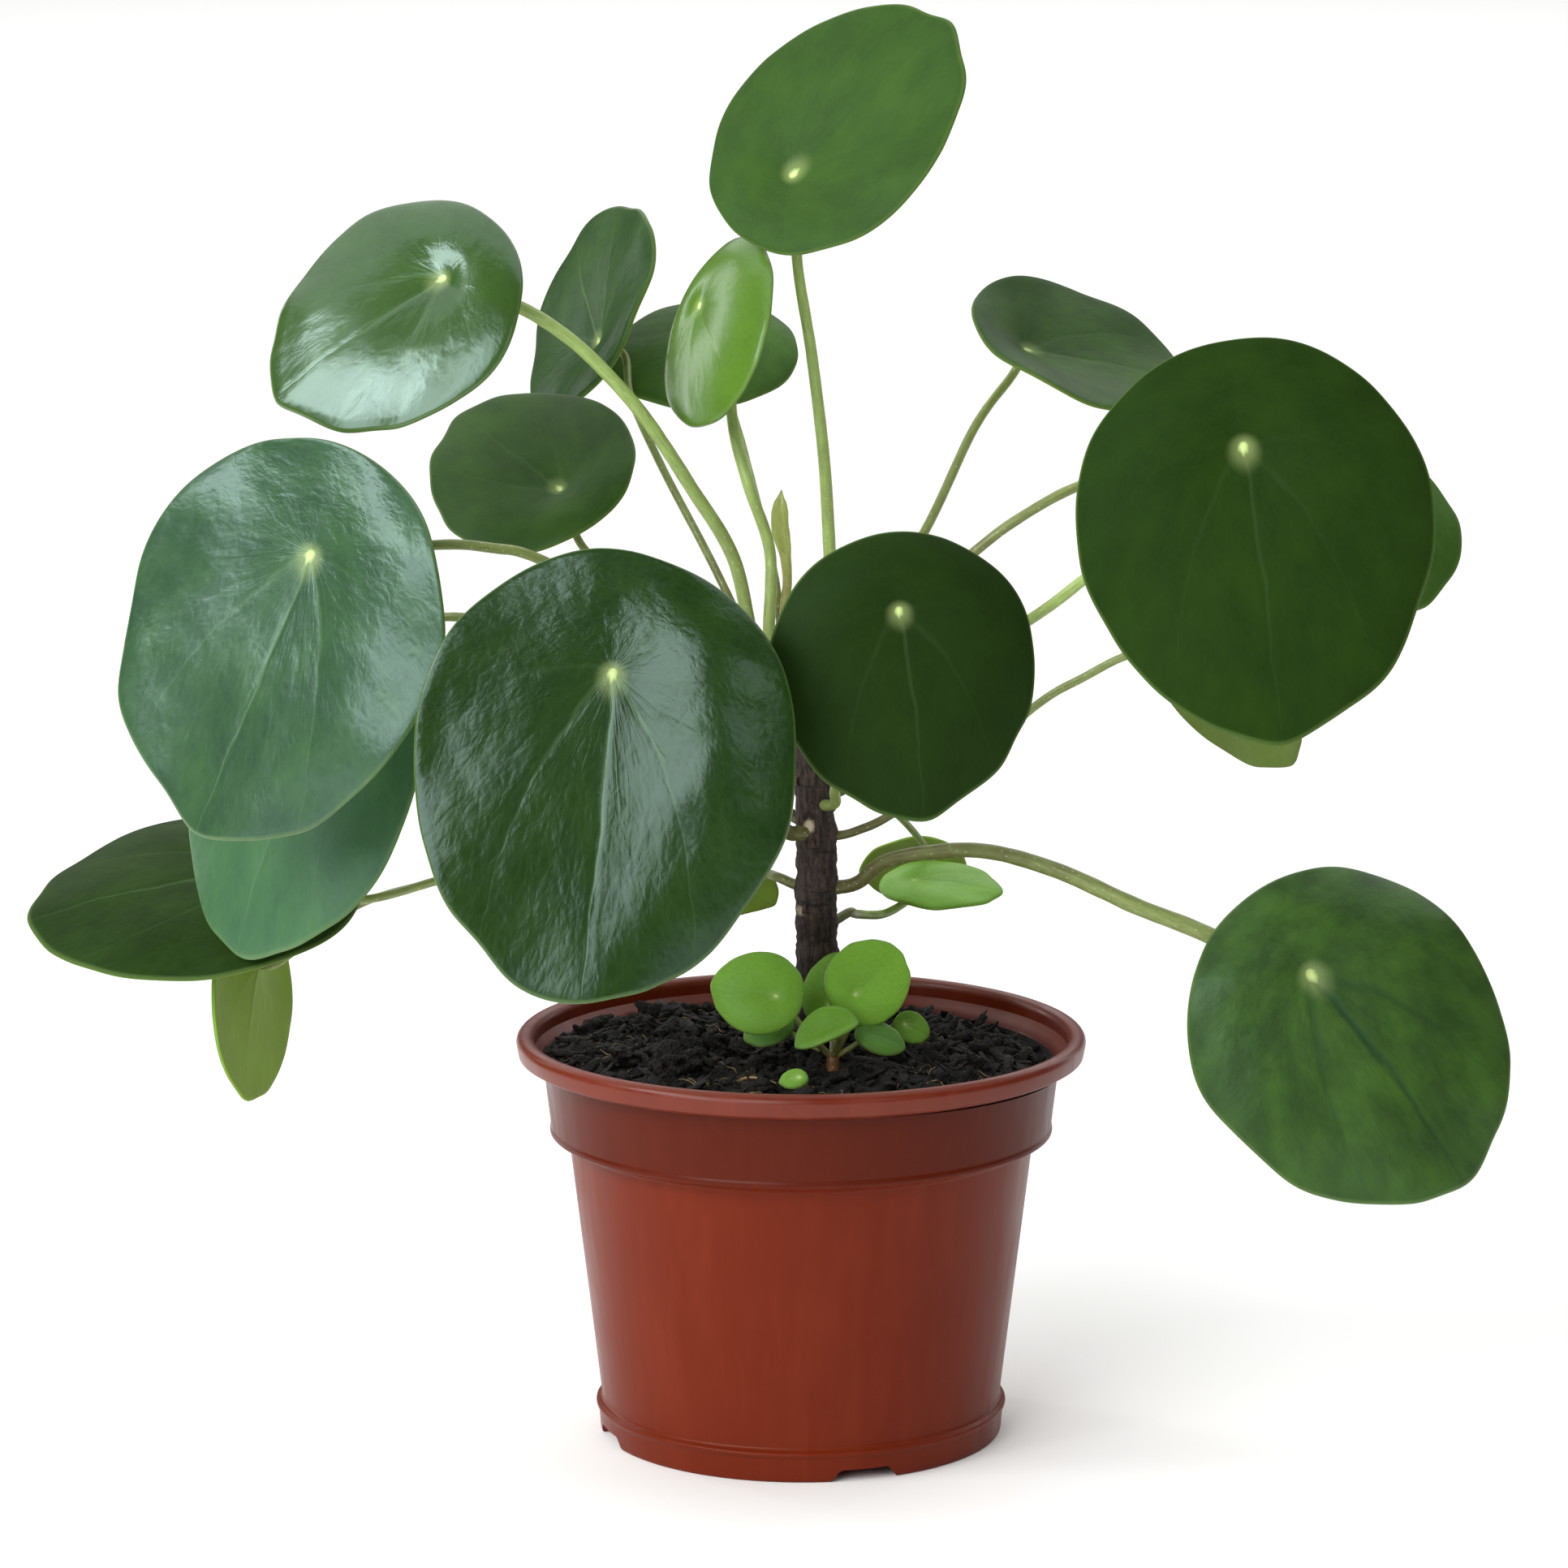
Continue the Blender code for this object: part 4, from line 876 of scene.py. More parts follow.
def bark():
    """Young bark, grown: matt brown ridges that the swelling trunk has cracked along its length, darker
    in the cracks and pale and dry on the leaf scars."""
    settings = bpy.context.scene.plant_trunk
    made, tree = new_material("Young bark", settings.bark, 0.78, Specular_IOR_Level=0.35)
    place = node(tree, "Attribute", attribute_name=STRAIGHT, out="Vector")
    pale = node(tree, "Attribute", attribute_name=PALE, out="Fac")
    cracks = node(tree, "VectorMath", (place, (1.3, 1.3, 0.22)), operation="MULTIPLY")
    cracks = node(tree, "TexNoise", {"Vector": cracks, "Scale": 1.0, "Detail": 6.0, "Roughness": 0.65,
                                     "Distortion": 0.9})
    ridges = node(tree, "MapRange", (cracks, 0.36, 0.66))
    rings = node(tree, "VectorMath", (place, (0.2, 0.2, 0.75)), operation="MULTIPLY")
    rings = node(tree, "TexNoise", {"Vector": rings, "Scale": 1.0, "Detail": 5.0, "Distortion": 1.4})
    rings = node(tree, "MapRange", (rings, 0.5, 0.72, 0.0, 0.8))
    dust = node(tree, "TexNoise", {"Vector": place, "Scale": 0.9, "Detail": 5.0})
    dust = node(tree, "MapRange", (dust, 0.55, 0.8, 0.0, 0.35))
    crack = opaque(settings.crack)
    layers = ((ridges, opaque(settings.bark)), (rings, crack), (dust, opaque(settings.bark, 1.9)),
              (pale, opaque(settings.scar)))
    return surface(made, crack, layers, cracks, 0.9, 0.3)


def dry_scale():
    """Dried leaf scale, curled as it dried: thin, brown and papery."""
    flap = bpy.context.scene.plant_trunk.flap
    made, tree = new_material("Dried leaf scale", flap, 0.7)
    place = node(tree, "TexCoord", out="Object")
    streaks = node(tree, "TexNoise", {"Vector": place, "Scale": 1 / (SCALE_STREAK * MM), "Detail": 3.0})
    return surface(made, opaque(flap, 0.5), [(streaks, opaque(flap, 2.2))])


def peat(name, wet, dry, roughness):
    """Peat, dug and crumbled: near black where it is moist, browner on dry grains, and quite matt."""
    made, tree = new_material(name, wet, roughness, Specular_IOR_Level=0.3)
    place = node(tree, "TexCoord", out="Object")
    lumps = node(tree, "TexNoise", {"Vector": place, "Scale": 1 / (PEAT_LUMP * MM), "Detail": 8.0,
                                    "Roughness": 0.7})
    dryness = node(tree, "MapRange", (lumps, 0.45, 0.75))
    grains = node(tree, "TexVoronoi", {"Vector": place, "Scale": 1 / (PEAT_GRAIN * MM)})
    height = node(tree, "Math", (grains, lumps), operation="ADD")
    return surface(made, opaque(wet), [(dryness, opaque(dry))], height, 1.0, 0.5)


def pot_plastic():
    """Polypropylene, injection moulded and coloured through: a waxy half gloss with faint upright flow
    streaks and scuffs, and glossier on the rolled rim. The plain strip under the rim carries painted shade,
    made darker as if the rim's shadow lay on it."""
    settings = bpy.context.scene.plant_pot
    made, tree = new_material("Moulded polypropylene", settings.plastic, 0.34, IOR=1.49,
                              Specular_IOR_Level=0.15)
    place = node(tree, "TexCoord", out="Object")
    streaks, scuffs = (
        node(tree, "VectorMath", (place, (1 / (width * MM), 1 / (width * MM), 1 / (height * MM))),
             operation="MULTIPLY") for width, height in (FLOW_STREAK, SCUFF))
    streaks = node(tree, "TexNoise", {"Vector": streaks, "Scale": 1.0, "Detail": 4.0})
    patches = node(tree, "TexNoise", {"Vector": place, "Scale": 1 / (WEAR_PATCH * MM), "Detail": 6.0})
    wear = node(tree, "Math", (streaks, patches), operation="MULTIPLY")
    dull = node(tree, "MapRange", (wear, 0.2, 0.45, 0.0, 0.4))
    scuffs = node(tree, "TexNoise", {"Vector": scuffs, "Scale": 1.0, "Detail": 2.0})
    scuffs = node(tree, "MapRange", (scuffs, 0.6, 0.85, 0.0, 0.12))
    height = node(tree, "SeparateXYZ", (place,), 2)
    # Painted shade: this mask is half on from the lower bead up to the rim's underside, and darkens that
    # strip as if the rim's shadow lay on it
    band_painted_shade, rolled = (node(tree, "MapRange", (height, (level - 0.5) * MM, (level + 0.5) * MM, 0.0, most))
                    for level, most in ((BAND_BOTTOM, 0.5), (RIM_UNDERSIDE, -0.5)))
    band_painted_shade = node(tree, "Math", (band_painted_shade, rolled), operation="ADD")
    roughness = node(tree, "MapRange", (wear, 0.15, 0.45, 0.28, 0.46))
    gloss = node(tree, "MapRange", (rolled, 0.0, -0.5, 0.12, 0.35))
    # The last layer is the painted shade under the rim: a darker copy of the plastic
    layers = ((dull, opaque(settings.worn)), (scuffs, opaque(settings.worn, 2.2)),
              (band_painted_shade, opaque(settings.plastic, 0.25)))
    return surface(made, opaque(settings.plastic), layers, streaks, 0.25, 0.15, Roughness=roughness,
                   Specular_IOR_Level=gloss)


def cut_out(target, others):
    """Cuts the others out of the target in one Boolean, and removes them."""
    group = bpy.data.collections.new("cutters")
    for other in others:
        group.objects.link(other)
    step = target.modifiers.new("cut", "BOOLEAN")
    step.operation = "DIFFERENCE"
    step.operand_type = "COLLECTION"
    step.collection = group
    step.solver = "EXACT"
    with bpy.context.temp_override(object=target):
        bpy.ops.object.modifier_apply(modifier=step.name)
    for other in others:
        bpy.data.objects.remove(other)
    bpy.data.collections.remove(group)


def pot_inside():
    """The pot's inner surface, from the middle of its floor up to the rim."""
    return (
        (0.0, FLOOR_UNDERSIDE + FLOOR_THICKNESS),
        (BODY_BOTTOM_RADIUS - POT_WALL - 1.0, FLOOR_UNDERSIDE + FLOOR_THICKNESS),
        (BODY_TOP_RADIUS - POT_WALL, BAND_BOTTOM - 1.0),
        (BAND_BOTTOM_RADIUS - POT_WALL, BAND_BOTTOM + 0.6),
        (BAND_TOP_RADIUS - POT_WALL, RIM_UNDERSIDE - 1.2),
        (RIM_INSIDE, RIM_UNDERSIDE + 1.8),
    )


def pot_profile():
    """The pot's profile, from the middle of its underside round the outside and back to its floor."""
    middle = (RIM_RADIUS + RIM_INSIDE) / 2
    half = (RIM_RADIUS - RIM_INSIDE) / 2
    outside = [
        (0.0, 0.0),
        (PAD_RADIUS, 0.0),
        (PAD_RADIUS, FLOOR_UNDERSIDE),
        (FOOT_RADIUS - FOOT_RING_WIDTH - 0.6, FLOOR_UNDERSIDE),
        (FOOT_RADIUS - FOOT_RING_WIDTH - 0.6, 0.0),
        (FOOT_RADIUS - 0.6, 0.0),
        (FOOT_RADIUS - 0.2, FOOT_HEIGHT - 1.2),
        (FOOT_RADIUS + BEAD_HEIGHT, FOOT_HEIGHT - 0.7),
        (FOOT_RADIUS + BEAD_HEIGHT, FOOT_HEIGHT),
        (BODY_BOTTOM_RADIUS, FOOT_HEIGHT + 0.6),
        (BODY_TOP_RADIUS, BAND_BOTTOM - 1.6),
        (BAND_BOTTOM_RADIUS - 0.7, BAND_BOTTOM - 0.3),
        (BAND_BOTTOM_RADIUS + BEAD_HEIGHT, BAND_BOTTOM),
        (BAND_BOTTOM_RADIUS + BEAD_HEIGHT, BAND_BOTTOM + 0.9),
        (BAND_BOTTOM_RADIUS + 0.1, BAND_BOTTOM + 1.5),
        (BAND_TOP_RADIUS, RIM_UNDERSIDE),
        (RIM_RADIUS - 2.0, RIM_UNDERSIDE),
        (RIM_RADIUS - 0.5, RIM_UNDERSIDE + 0.9),
    ]
    crown = [(middle + half * math.cos(turn), POT_HEIGHT - half + half * math.sin(turn))
             for turn in [math.radians(angle) for angle in range(0, 181, 12)]]
    return [*rounded(outside, OUTER_ROUNDING), *crown, *rounded(pot_inside()[::-1], INNER_ROUNDING)]


def foot_notch(bearing):
    """A wedge with rounded upper corners that cuts one notch out of the foot ring."""
    bm = bmesh.new()
    bmesh.ops.create_cube(bm, size=1.0)
    for vert in bm.verts:
        top = vert.co.z > 0
        across = vert.co.y * (NOTCH_WIDTH_TOP if top else NOTCH_WIDTH_BOTTOM + 1.6)
        vert.co = Vector((FOOT_RADIUS - 1.5 + vert.co.x * 5.0, across, NOTCH_HEIGHT if top else -1.0))
    upper = [edge for edge in bm.edges
             if abs(edge.verts[0].co.x - edge.verts[1].co.x) > 1 and edge.verts[0].co.z > 0]
    bmesh.ops.bevel(bm, geom=upper, offset=NOTCH_ROUNDING, affect="EDGES", segments=3, profile=0.5,
                    material=-1)
    bmesh.ops.transform(bm, matrix=Matrix.Rotation(math.radians(bearing), 4, "Z"), verts=bm.verts[:])
    return new_object("notch", bm)


def drain_hole(bearing):
    """A round peg that cuts one drain hole out of the floor."""
    bm = bmesh.new()
    place = DRAIN_HOLE_CIRCLE * direction(bearing) + (FLOOR_UNDERSIDE + FLOOR_THICKNESS / 2) * UP
    bmesh.ops.create_cone(bm, cap_ends=True, segments=32, radius1=DRAIN_HOLE_RADIUS,
                          radius2=DRAIN_HOLE_RADIUS, depth=FLOOR_THICKNESS + 1.0,
                          matrix=Matrix.Translation(place))
    return new_object("drain", bm)


class PLANT_OT_pot(bpy.types.Operator):
    """Make the moulded nursery pot, with its notched foot and drain holes"""
    bl_idname = "plant.pot"
    bl_label = "Pot"

    def execute(self, context):
        body = revolve(pot_profile(), context.scene.plant_pot.sides)
        pot = finish_piece("nursery_pot", body, [pot_plastic()], ["pot"])
        cut_out(pot, [cutter(NOTCH_BEARING + 360.0 * number / count)
                      for cutter, count in ((foot_notch, FOOT_NOTCHES), (drain_hole, DRAIN_HOLES))
                      for number in range(count)])
        pot.data.set_sharp_from_angle(angle=math.radians(SHARP_ANGLE))
        return {"FINISHED"}


def soil_height(x, y):
    """How high the peat stands at a point: the part's own clods, and finer lumps over them."""
    radius = math.hypot(x, y)
    clod = SOIL_CLOD * (math.sin(0.61 * x + 0.9) * math.cos(0.53 * y)
                        + 0.6 * math.sin(0.37 * x - 0.83 * y + 2.1)
                        + 0.5 * math.cos(0.97 * x + 0.29 * y + 0.4)) / 2
    place = Vector((x, y, 0.0))
    lump = noise.voronoi(place / 5.2)[0]
    grain = noise.voronoi(place / 1.9 + Vector((7.3, 0, 0)))[0]
    rough = noise.noise(place / 1.3) + 0.6 * noise.noise(place / 0.8)
    lumps = 1.6 * (0.45 - lump[0]) + 0.6 * (0.45 - grain[0])
    lumps += 1.4 * noise.noise(place / 8.0) + 0.7 * rough
    edge = min(1.0, max(0.0, (RIM_INSIDE - 1.0 - radius) / 4.0))
    mound = SOIL_MOUND * (1 - (radius / RIM_INSIDE) ** 2)
    slump = min(1.0, max(0.0, (radius - 30.0) / 20.0)) ** 2
    side = 0.5 + 0.5 * math.cos(math.atan2(y, x) - math.radians(30.0))
    return SOIL_LEVEL + mound + edge * (clod + lumps) - slump * (1.0 + 2.4 * side)


def scatter(draw, radius):
    """A random point in the pot, as often in one spot as in another."""
    reach = radius * math.sqrt(draw.random())
    return reach * direction(draw.uniform(0.0, 360.0))


def crumb(draw, place, size, flatness, steps):
    """One grain of peat or chip of bark: a ball dented at random and laid at any angle."""
    bm = bmesh.new()
    bmesh.ops.create_icosphere(bm, subdivisions=steps, radius=size)
    seed = Vector([draw.uniform(-99, 99) for _axis in range(3)])
    for vert in bm.verts:
        vert.co *= 1.0 + 0.7 * noise.noise(vert.co / size * 1.7 + seed)
        vert.co.z *= flatness
        vert.co.y *= 0.5 + 0.5 * flatness
        vert.co.x *= 1.0 + 0.9 * (1 - flatness)
    lean = 0.5 + 0.6 * (1 - flatness)
    laid = Matrix.Translation(place)
    for least, most, axis in ((0, TURN, "Z"), (-lean, lean, "Y"), (-0.7, 0.7, "X")):
        laid = laid @ Matrix.Rotation(draw.uniform(least, most), 4, axis)
    bmesh.ops.transform(bm, matrix=laid, verts=bm.verts[:])
    return bm


def fibre(draw, place):
    """One thin fibre that lies on the peat in a loose bow."""
    heading = draw.uniform(0, 360)
    points = []
    at = Vector(place)
    for _step in range(5):
        at = at + direction(heading) * draw.uniform(1.0, 2.2)
        heading += draw.uniform(-45, 45)
        points.append(Vector((at.x, at.y, soil_height(at.x, at.y) + draw.uniform(0.1, 0.9))))
    if max(point.xy.length for point in points) > RIM_INSIDE - 3.0:
        return None
    width = draw.uniform(0.08, 0.2)
    return tube(smooth_route(points, 1.2), lambda share: width * (1 - 0.5 * share), 4)


Grain = namedtuple("Grain", "margin rise flatness fine material")
"""Loose bits on the peat. margin: how far they stay from the rim. rise: how far they lie above the
surface, as a share of their size. flatness: the least and the most. fine: the size past which they
have more faces. material: the place of theirs in the soil's list."""

CRUMB = Grain(3.0, 0.35, (0.5, 0.9), 1.0, 0)
CHIP = Grain(5.0, 0.3, (0.15, 0.4), 1.4, 1)
CRUMB_SIZES = (0.35, 2.2)
CHIP_SIZES = (0.7, 2.3)
SHOOT_MARGIN = 2.0

# The pale root on the peat, the round lump beside it, and two darker lumps
ROOT_ROUTE = ((-13, -31), (-11, -34.5), (-7.5, -36.5), (-5, -36), (-2.5, -38.5))
LUMPS = (((-26, -26), 4.2, 0.75), ((-37, -17), 3.2, 0.7), ((-28, -16), 3.0, 0.8))


class PLANT_OT_soil(bpy.types.Operator):
    """Make the peat, with crumbs, chips, fibres and a stray root on it"""
    bl_idname = "plant.soil"
    bl_label = "Soil"

    def execute(self, context):
        settings = context.scene.plant_soil
        draw = random.Random(11)
        wall = [(radius - SOIL_GAP, height + SOIL_GAP) for radius, height in pot_inside()[1:-1]]
        edge_radius = RIM_INSIDE - SOIL_GAP - 0.1
        rings = int((edge_radius - 1.0) / SOIL_RING_SPACING)
        top = [(edge_radius * (rings - number) / rings, SOIL_LEVEL) for number in range(rings)]
        profile = [(0.0, wall[0][1]), *wall, *top, (0.0, SOIL_LEVEL)]
        soil = revolve(profile, context.scene.plant_pot.sides)
        for vert in soil.verts:
            if vert.co.z > SOIL_LEVEL - 0.01:
                vert.co.z = soil_height(vert.co.x, vert.co.y)
        keep_clear = [Vector((*shoot.root, 0.0)) for shoot in SHOOTS]
        for number in range(settings.crumbs + settings.chips):
            grain = CHIP if number >= settings.crumbs else CRUMB
            place = scatter(draw, RIM_INSIDE - grain.margin)
            if grain is CHIP:
                size = draw.uniform(*CHIP_SIZES)
            else:
                size = min(CRUMB_SIZES[1], CRUMB_SIZES[0] * math.exp(abs(draw.gauss(0, 0.8))))
            if min((place - spot).length for spot in keep_clear) < size + SHOOT_MARGIN:
                continue
            place.z = soil_height(place.x, place.y) + size * grain.rise
            flatness = draw.uniform(*grain.flatness)
            add_to(soil, crumb(draw, place, size, flatness, 2 if size > grain.fine else 1), grain.material)
        for (x, y), size, flatness in LUMPS:
            place = Vector((x, y, soil_height(x, y) + size * 0.55))
            add_to(soil, crumb(draw, place, size, flatness, 4), 1)
        for _number in range(settings.fibres):
            strand = fibre(draw, scatter(draw, RIM_INSIDE - 8.0))
            if strand:
                add_to(soil, strand, 2)
        root = [Vector((x, y, soil_height(x, y) + 0.7)) for x, y in ROOT_ROUTE]
        add_to(soil, tube(smooth_route(root, 0.8), lambda share: 0.36 - 0.2 * share, 8), 3)
        materials = [peat("Moist peat", settings.peat, settings.dry_peat, 0.88),
                     peat("Composted bark", settings.chip, settings.peat, 0.75),
                     peat("Root fibre", settings.fibre, settings.dry_peat, 0.8),
                     stalk_skin("Root skin", linear("#8A6F4A"), linear("#B59A6C"))]
        finish_piece("peat", soil, materials, ["soil"])
        return {"FINISHED"}


def bark_swell(straight, bearing, height):
    """How far the bark stands out at a place on the trunk, and how pale and dry it is there."""
    swell = 0.0
    pale = 0.0
    low = TRUNK_ROUTE[0][2]
    for number in range(int((TRUNK_TOP - low) / SCAR_SPACING)):
        rise = (height - low - number * SCAR_SPACING) / SCAR_HALF_HEIGHT
        if abs(rise) > 3:
            continue
        aside = (bearing - math.radians(GOLDEN_ANGLE * number) + math.pi) % TURN - math.pi
        facing = max(0.0, math.cos(aside))
        swell += SCAR_RELIEF * facing * math.exp(-rise * rise)
        spot = (aside / SCAR_HALF_WIDTH) ** 2 + (rise / 0.9) ** 2
        if spot < 1:
            swell -= 0.25 * (1 - spot)
            if number % 4 == 0:
                pale = max(pale, min(0.55, 1 - spot))
    aside = bearing - math.radians(FRESH_SCAR_BEARING)
    rise = (height - FRESH_SCAR_HEIGHT) / FRESH_SCAR_HALF_HEIGHT
    fresh = (aside / FRESH_SCAR_HALF_WIDTH) ** 2 + rise ** 2
    pale = max(pale, min(1.0, 1.6 - 1.6 * fresh))
    ring = noise.noise(Vector((straight.x * 0.3, straight.y * 0.3, height * 0.9)))
    crack = noise.noise(Vector((straight.x * 0.95, straight.y * 0.95, height * 0.16)))
    fine = noise.noise(Vector((straight.x * 2.1, straight.y * 2.1, height * 0.8)))
    depth = bpy.context.scene.plant_trunk.crack_depth / MM
    knob = noise.noise(Vector((straight.x * 0.18, straight.y * 0.18, height * 0.28 + 5.0)))
    swell += depth * (1.2 * min(0.0, crack) + 0.9 * ring + 0.4 * fine + 1.6 * knob)
    return swell, pale


def joint_swell(bearing, height):
    """The collar that the trunk grows round the foot of each stalk."""
    swell = 0.0
    for leaf in LEAVES:
        rise = (height - leaf.joint[0]) / COLLAR_HALF_HEIGHT
        aside = (bearing - math.radians(leaf.joint[1]) + math.pi) % TURN - math.pi
        swell += COLLAR_RELIEF * math.exp(-rise * rise - (aside / COLLAR_HALF_WIDTH) ** 2)
    return min(swell, 0.8)


def dry_flap(place, out, size, curl):
    """A dried scale that clings to the bark: a small strip that curls away from it."""
    bm = bmesh.new()
    bmesh.ops.create_grid(bm, x_segments=6, y_segments=4, size=0.5)
    for vert in bm.verts:
        u = vert.co.x + 0.5
        v = vert.co.y
        width = size * 0.55 * (1 - 0.6 * u)
        angle = curl * u
        vert.co = Vector((size * math.sin(angle) / curl, v * width, size * (1 - math.cos(angle)) / curl
                          - 0.6 * abs(v) * size * 0.3))
    bmesh.ops.solidify(bm, geom=bm.faces[:], thickness=FLAP_THICKNESS)
    side = UP.cross(out).normalized()
    axes = Matrix((out * 0.8 + UP * 0.6, side, (out * 0.8 + UP * 0.6).cross(side))).transposed()
    bmesh.ops.transform(bm, matrix=Matrix.Translation(place) @ axes.to_4x4(), verts=bm.verts[:])
    return bm


# Dry scales on the trunk: height, bearing, length and how far round they curl
FLAPS = ((133.5, -8, 3.2, 2.6), (139, 212, 2.6, 2.2), (126, 262, 2.2, 1.8), (120, 300, 2.0, 2.4),
         (112, 238, 2.4, 2.0), (146, 150, 2.4, 2.4), (104, 320, 2.0, 1.8), (137, 60, 2.4, 2.2),
         (118, 120, 2.4, 2.0), (97, 200, 1.8, 2.0), (143, 330, 2.2, 2.8))


class PLANT_OT_trunk(bpy.types.Operator):
    """Make the barked trunk with its scars and dry scales, its green top and the folded bud"""
    bl_idname = "plant.trunk"
    bl_label = "Trunk"

    def execute(self, context):
        settings = context.scene.plant_stalks
        top = trunk_middle(TRUNK_TOP + 0.4)
        route = smooth_route([*TRUNK_ROUTE, top], TRUNK_RING_SPACING)
        low = route[0].z
        bm = tube(route, lambda share: trunk_radius(low + (top.z - low) * share), TRUNK_SIDES, UP, UP)
        straight = bm.verts.layers.float_vector[STRAIGHT]
        pale_layer = bm.verts.layers.float.new(PALE)
        for vert in bm.verts:
            out = vert.co - trunk_middle(vert.co.z)
            out.z = 0.0
            if out.length < 0.5:
                continue
            bearing = math.atan2(out.y, out.x)
            swell, pale = bark_swell(vert[straight], bearing, vert.co.z)
            vert[pale_layer] = pale
            vert.co += out.normalized() * (swell + joint_swell(bearing, vert.co.z))
        for height, bearing, size, curl in FLAPS:
            out = direction(bearing)
            place = trunk_middle(height) + out * (trunk_radius(height) + 0.1)
            add_to(bm, dry_flap(place, out, size, curl), 1)
        finish_piece("barked_trunk", bm, [bark(), dry_scale()], ["trunk"])

        route = smooth_route([TIP_START, *TIP_ROUTE], TRUNK_RING_SPACING)
        axis = (route[-1] - route[-2]).normalized()
        full = len(route) - 1
        route += [route[full] + axis * TIP_ROUNDING * step for step in TIP_STEPS]
        count = len(route) - 1

        def tip_radius(share):
            number = share * count
            if number <= full:
                return blend((TIP_START_RADIUS, *TIP_RADII), number / full)
            inset = TIP_STEPS[round(number) - full - 1]
            return TIP_RADII[-1] * max(0.12, math.sqrt(max(0.0, 1 - inset ** 2)))

        tip = tube(route, tip_radius, 40, UP)
        for vert in tip.verts:
            out = vert.co - trunk_middle(vert.co.z)
            out.z = 0.0
            if out.length > 0.5 and vert.co.z < TIP_ROUTE[-1][2]:
                swell = 0.35 * noise.noise(vert.co * 0.5) + joint_swell(math.atan2(out.y, out.x), vert.co.z)
                vert.co += out.normalized() * swell
        skin = stalk_skin("Green stem skin", settings.root, settings.young)
        finish_piece("green_tip", tip, [skin], ["shoot_tip"])

        start = route[-1] - axis * 0.4
        route = smooth_route([start, *BUD_ROUTE], 0.6)
        bud = tube(route, lambda share: max(0.15, blend(BUD_RADII, share) * min(1.0, (1.02 - share) * 9)),
                   20, axis)
        for vert in bud.verts:
            middle = min(route, key=lambda point: (point - vert.co).length)
            if middle.z > BUD_ROUTE[2][2]:
                front = 1 if vert.co.y < middle.y else 0
                fold = 0.35 * math.exp(-((vert.co.x - middle.x) / 0.35) ** 2) * front
                vert.co.y += (middle.y - vert.co.y) * (1 - BUD_FLATNESS) + fold
        skin = stalk_skin("Bud skin", linear("#97904E"), linear("#B2BC6A"))
        finish_piece("folded_bud", bud, [skin], ["bud"])
        return {"FINISHED"}


def stalk_solid(leaf, route, depth, spacing, start_axis=None, flare=0.0):
    """A stalk along a route that ends square to the blade, thickened where it leaves the trunk and
    where it meets the blade."""
    normal = leaf_frame(leaf).col[2].xyz
    end = Vector(leaf.hub) - depth * normal
    reach = STALK_ARRIVAL * min(1.0, leaf.length / 50.0)
    smooth = smooth_route([*route, end - reach * normal, end], spacing)
    length = spacing * (len(smooth) - 1)
    seed = len(leaf.name) + leaf.length

    def radius(share):
        foot = flare * math.exp(-(share * length / 2.2) ** 2)
        crown = 0.3 * math.exp(-((1 - share) * length / 1.8) ** 2)
        uneven = 0.05 * noise.noise(Vector((share * length * 0.25, seed, 0.0)))
        return blend(leaf.thick, share) / 2 * (1 + foot + crown + uneven)

    return tube(smooth, radius, STALK_SIDES, start_axis, normal)


class PLANT_OT_stalks(bpy.types.Operator):
    """Make the stalks, each rooted in the trunk and run into its blade"""
    bl_idname = "plant.stalks"
    bl_label = "Stalks"

    def execute(self, context):
        settings = context.scene.plant_stalks
        for leaf in LEAVES:
            height, bearing = leaf.joint
            out = direction(bearing)
            middle = trunk_middle(height)
            surface = middle + out * (trunk_radius(height) * LEAN_ALLOWANCE + SCAR_RELIEF + CLEARANCE)
            inside = middle + out * trunk_radius(height) * 0.5
            route = [inside, surface, surface + STALK_ROOT * out + 0.3 * STALK_ROOT * UP, *leaf.route]
            bm = stalk_solid(leaf, route, BLADE_SINK, STALK_RING_SPACING, out, FOOT_FLARE)
            young = leaf.name in YOUNG_STALKS
            green = leaf.name in GREEN_STALKS
            skin = stalk_skin(("Young" if young else "Green" if green else "Grown") + " stalk skin",
                              settings.tip if young else settings.root,
                              settings.young if young or green else settings.tip)
            finish_piece("petiole_" + leaf.name, bm, [skin], ["stalk_" + leaf.name])
        return {"FINISHED"}


class PLANT_OT_leaves(bpy.types.Operator):
    """Make the twenty leaf blades"""
    bl_idname = "plant.leaves"
    bl_label = "Leaves"

    def execute(self, context):
        for leaf in LEAVES:
            bm = blade_solid(leaf, leaf_look(leaf))
            materials = [leaf_upper(leaf), leaf_under(leaf)]
            finish_piece("leaf_" + leaf.name, bm, materials, ["blade_" + leaf.name])
        return {"FINISHED"}


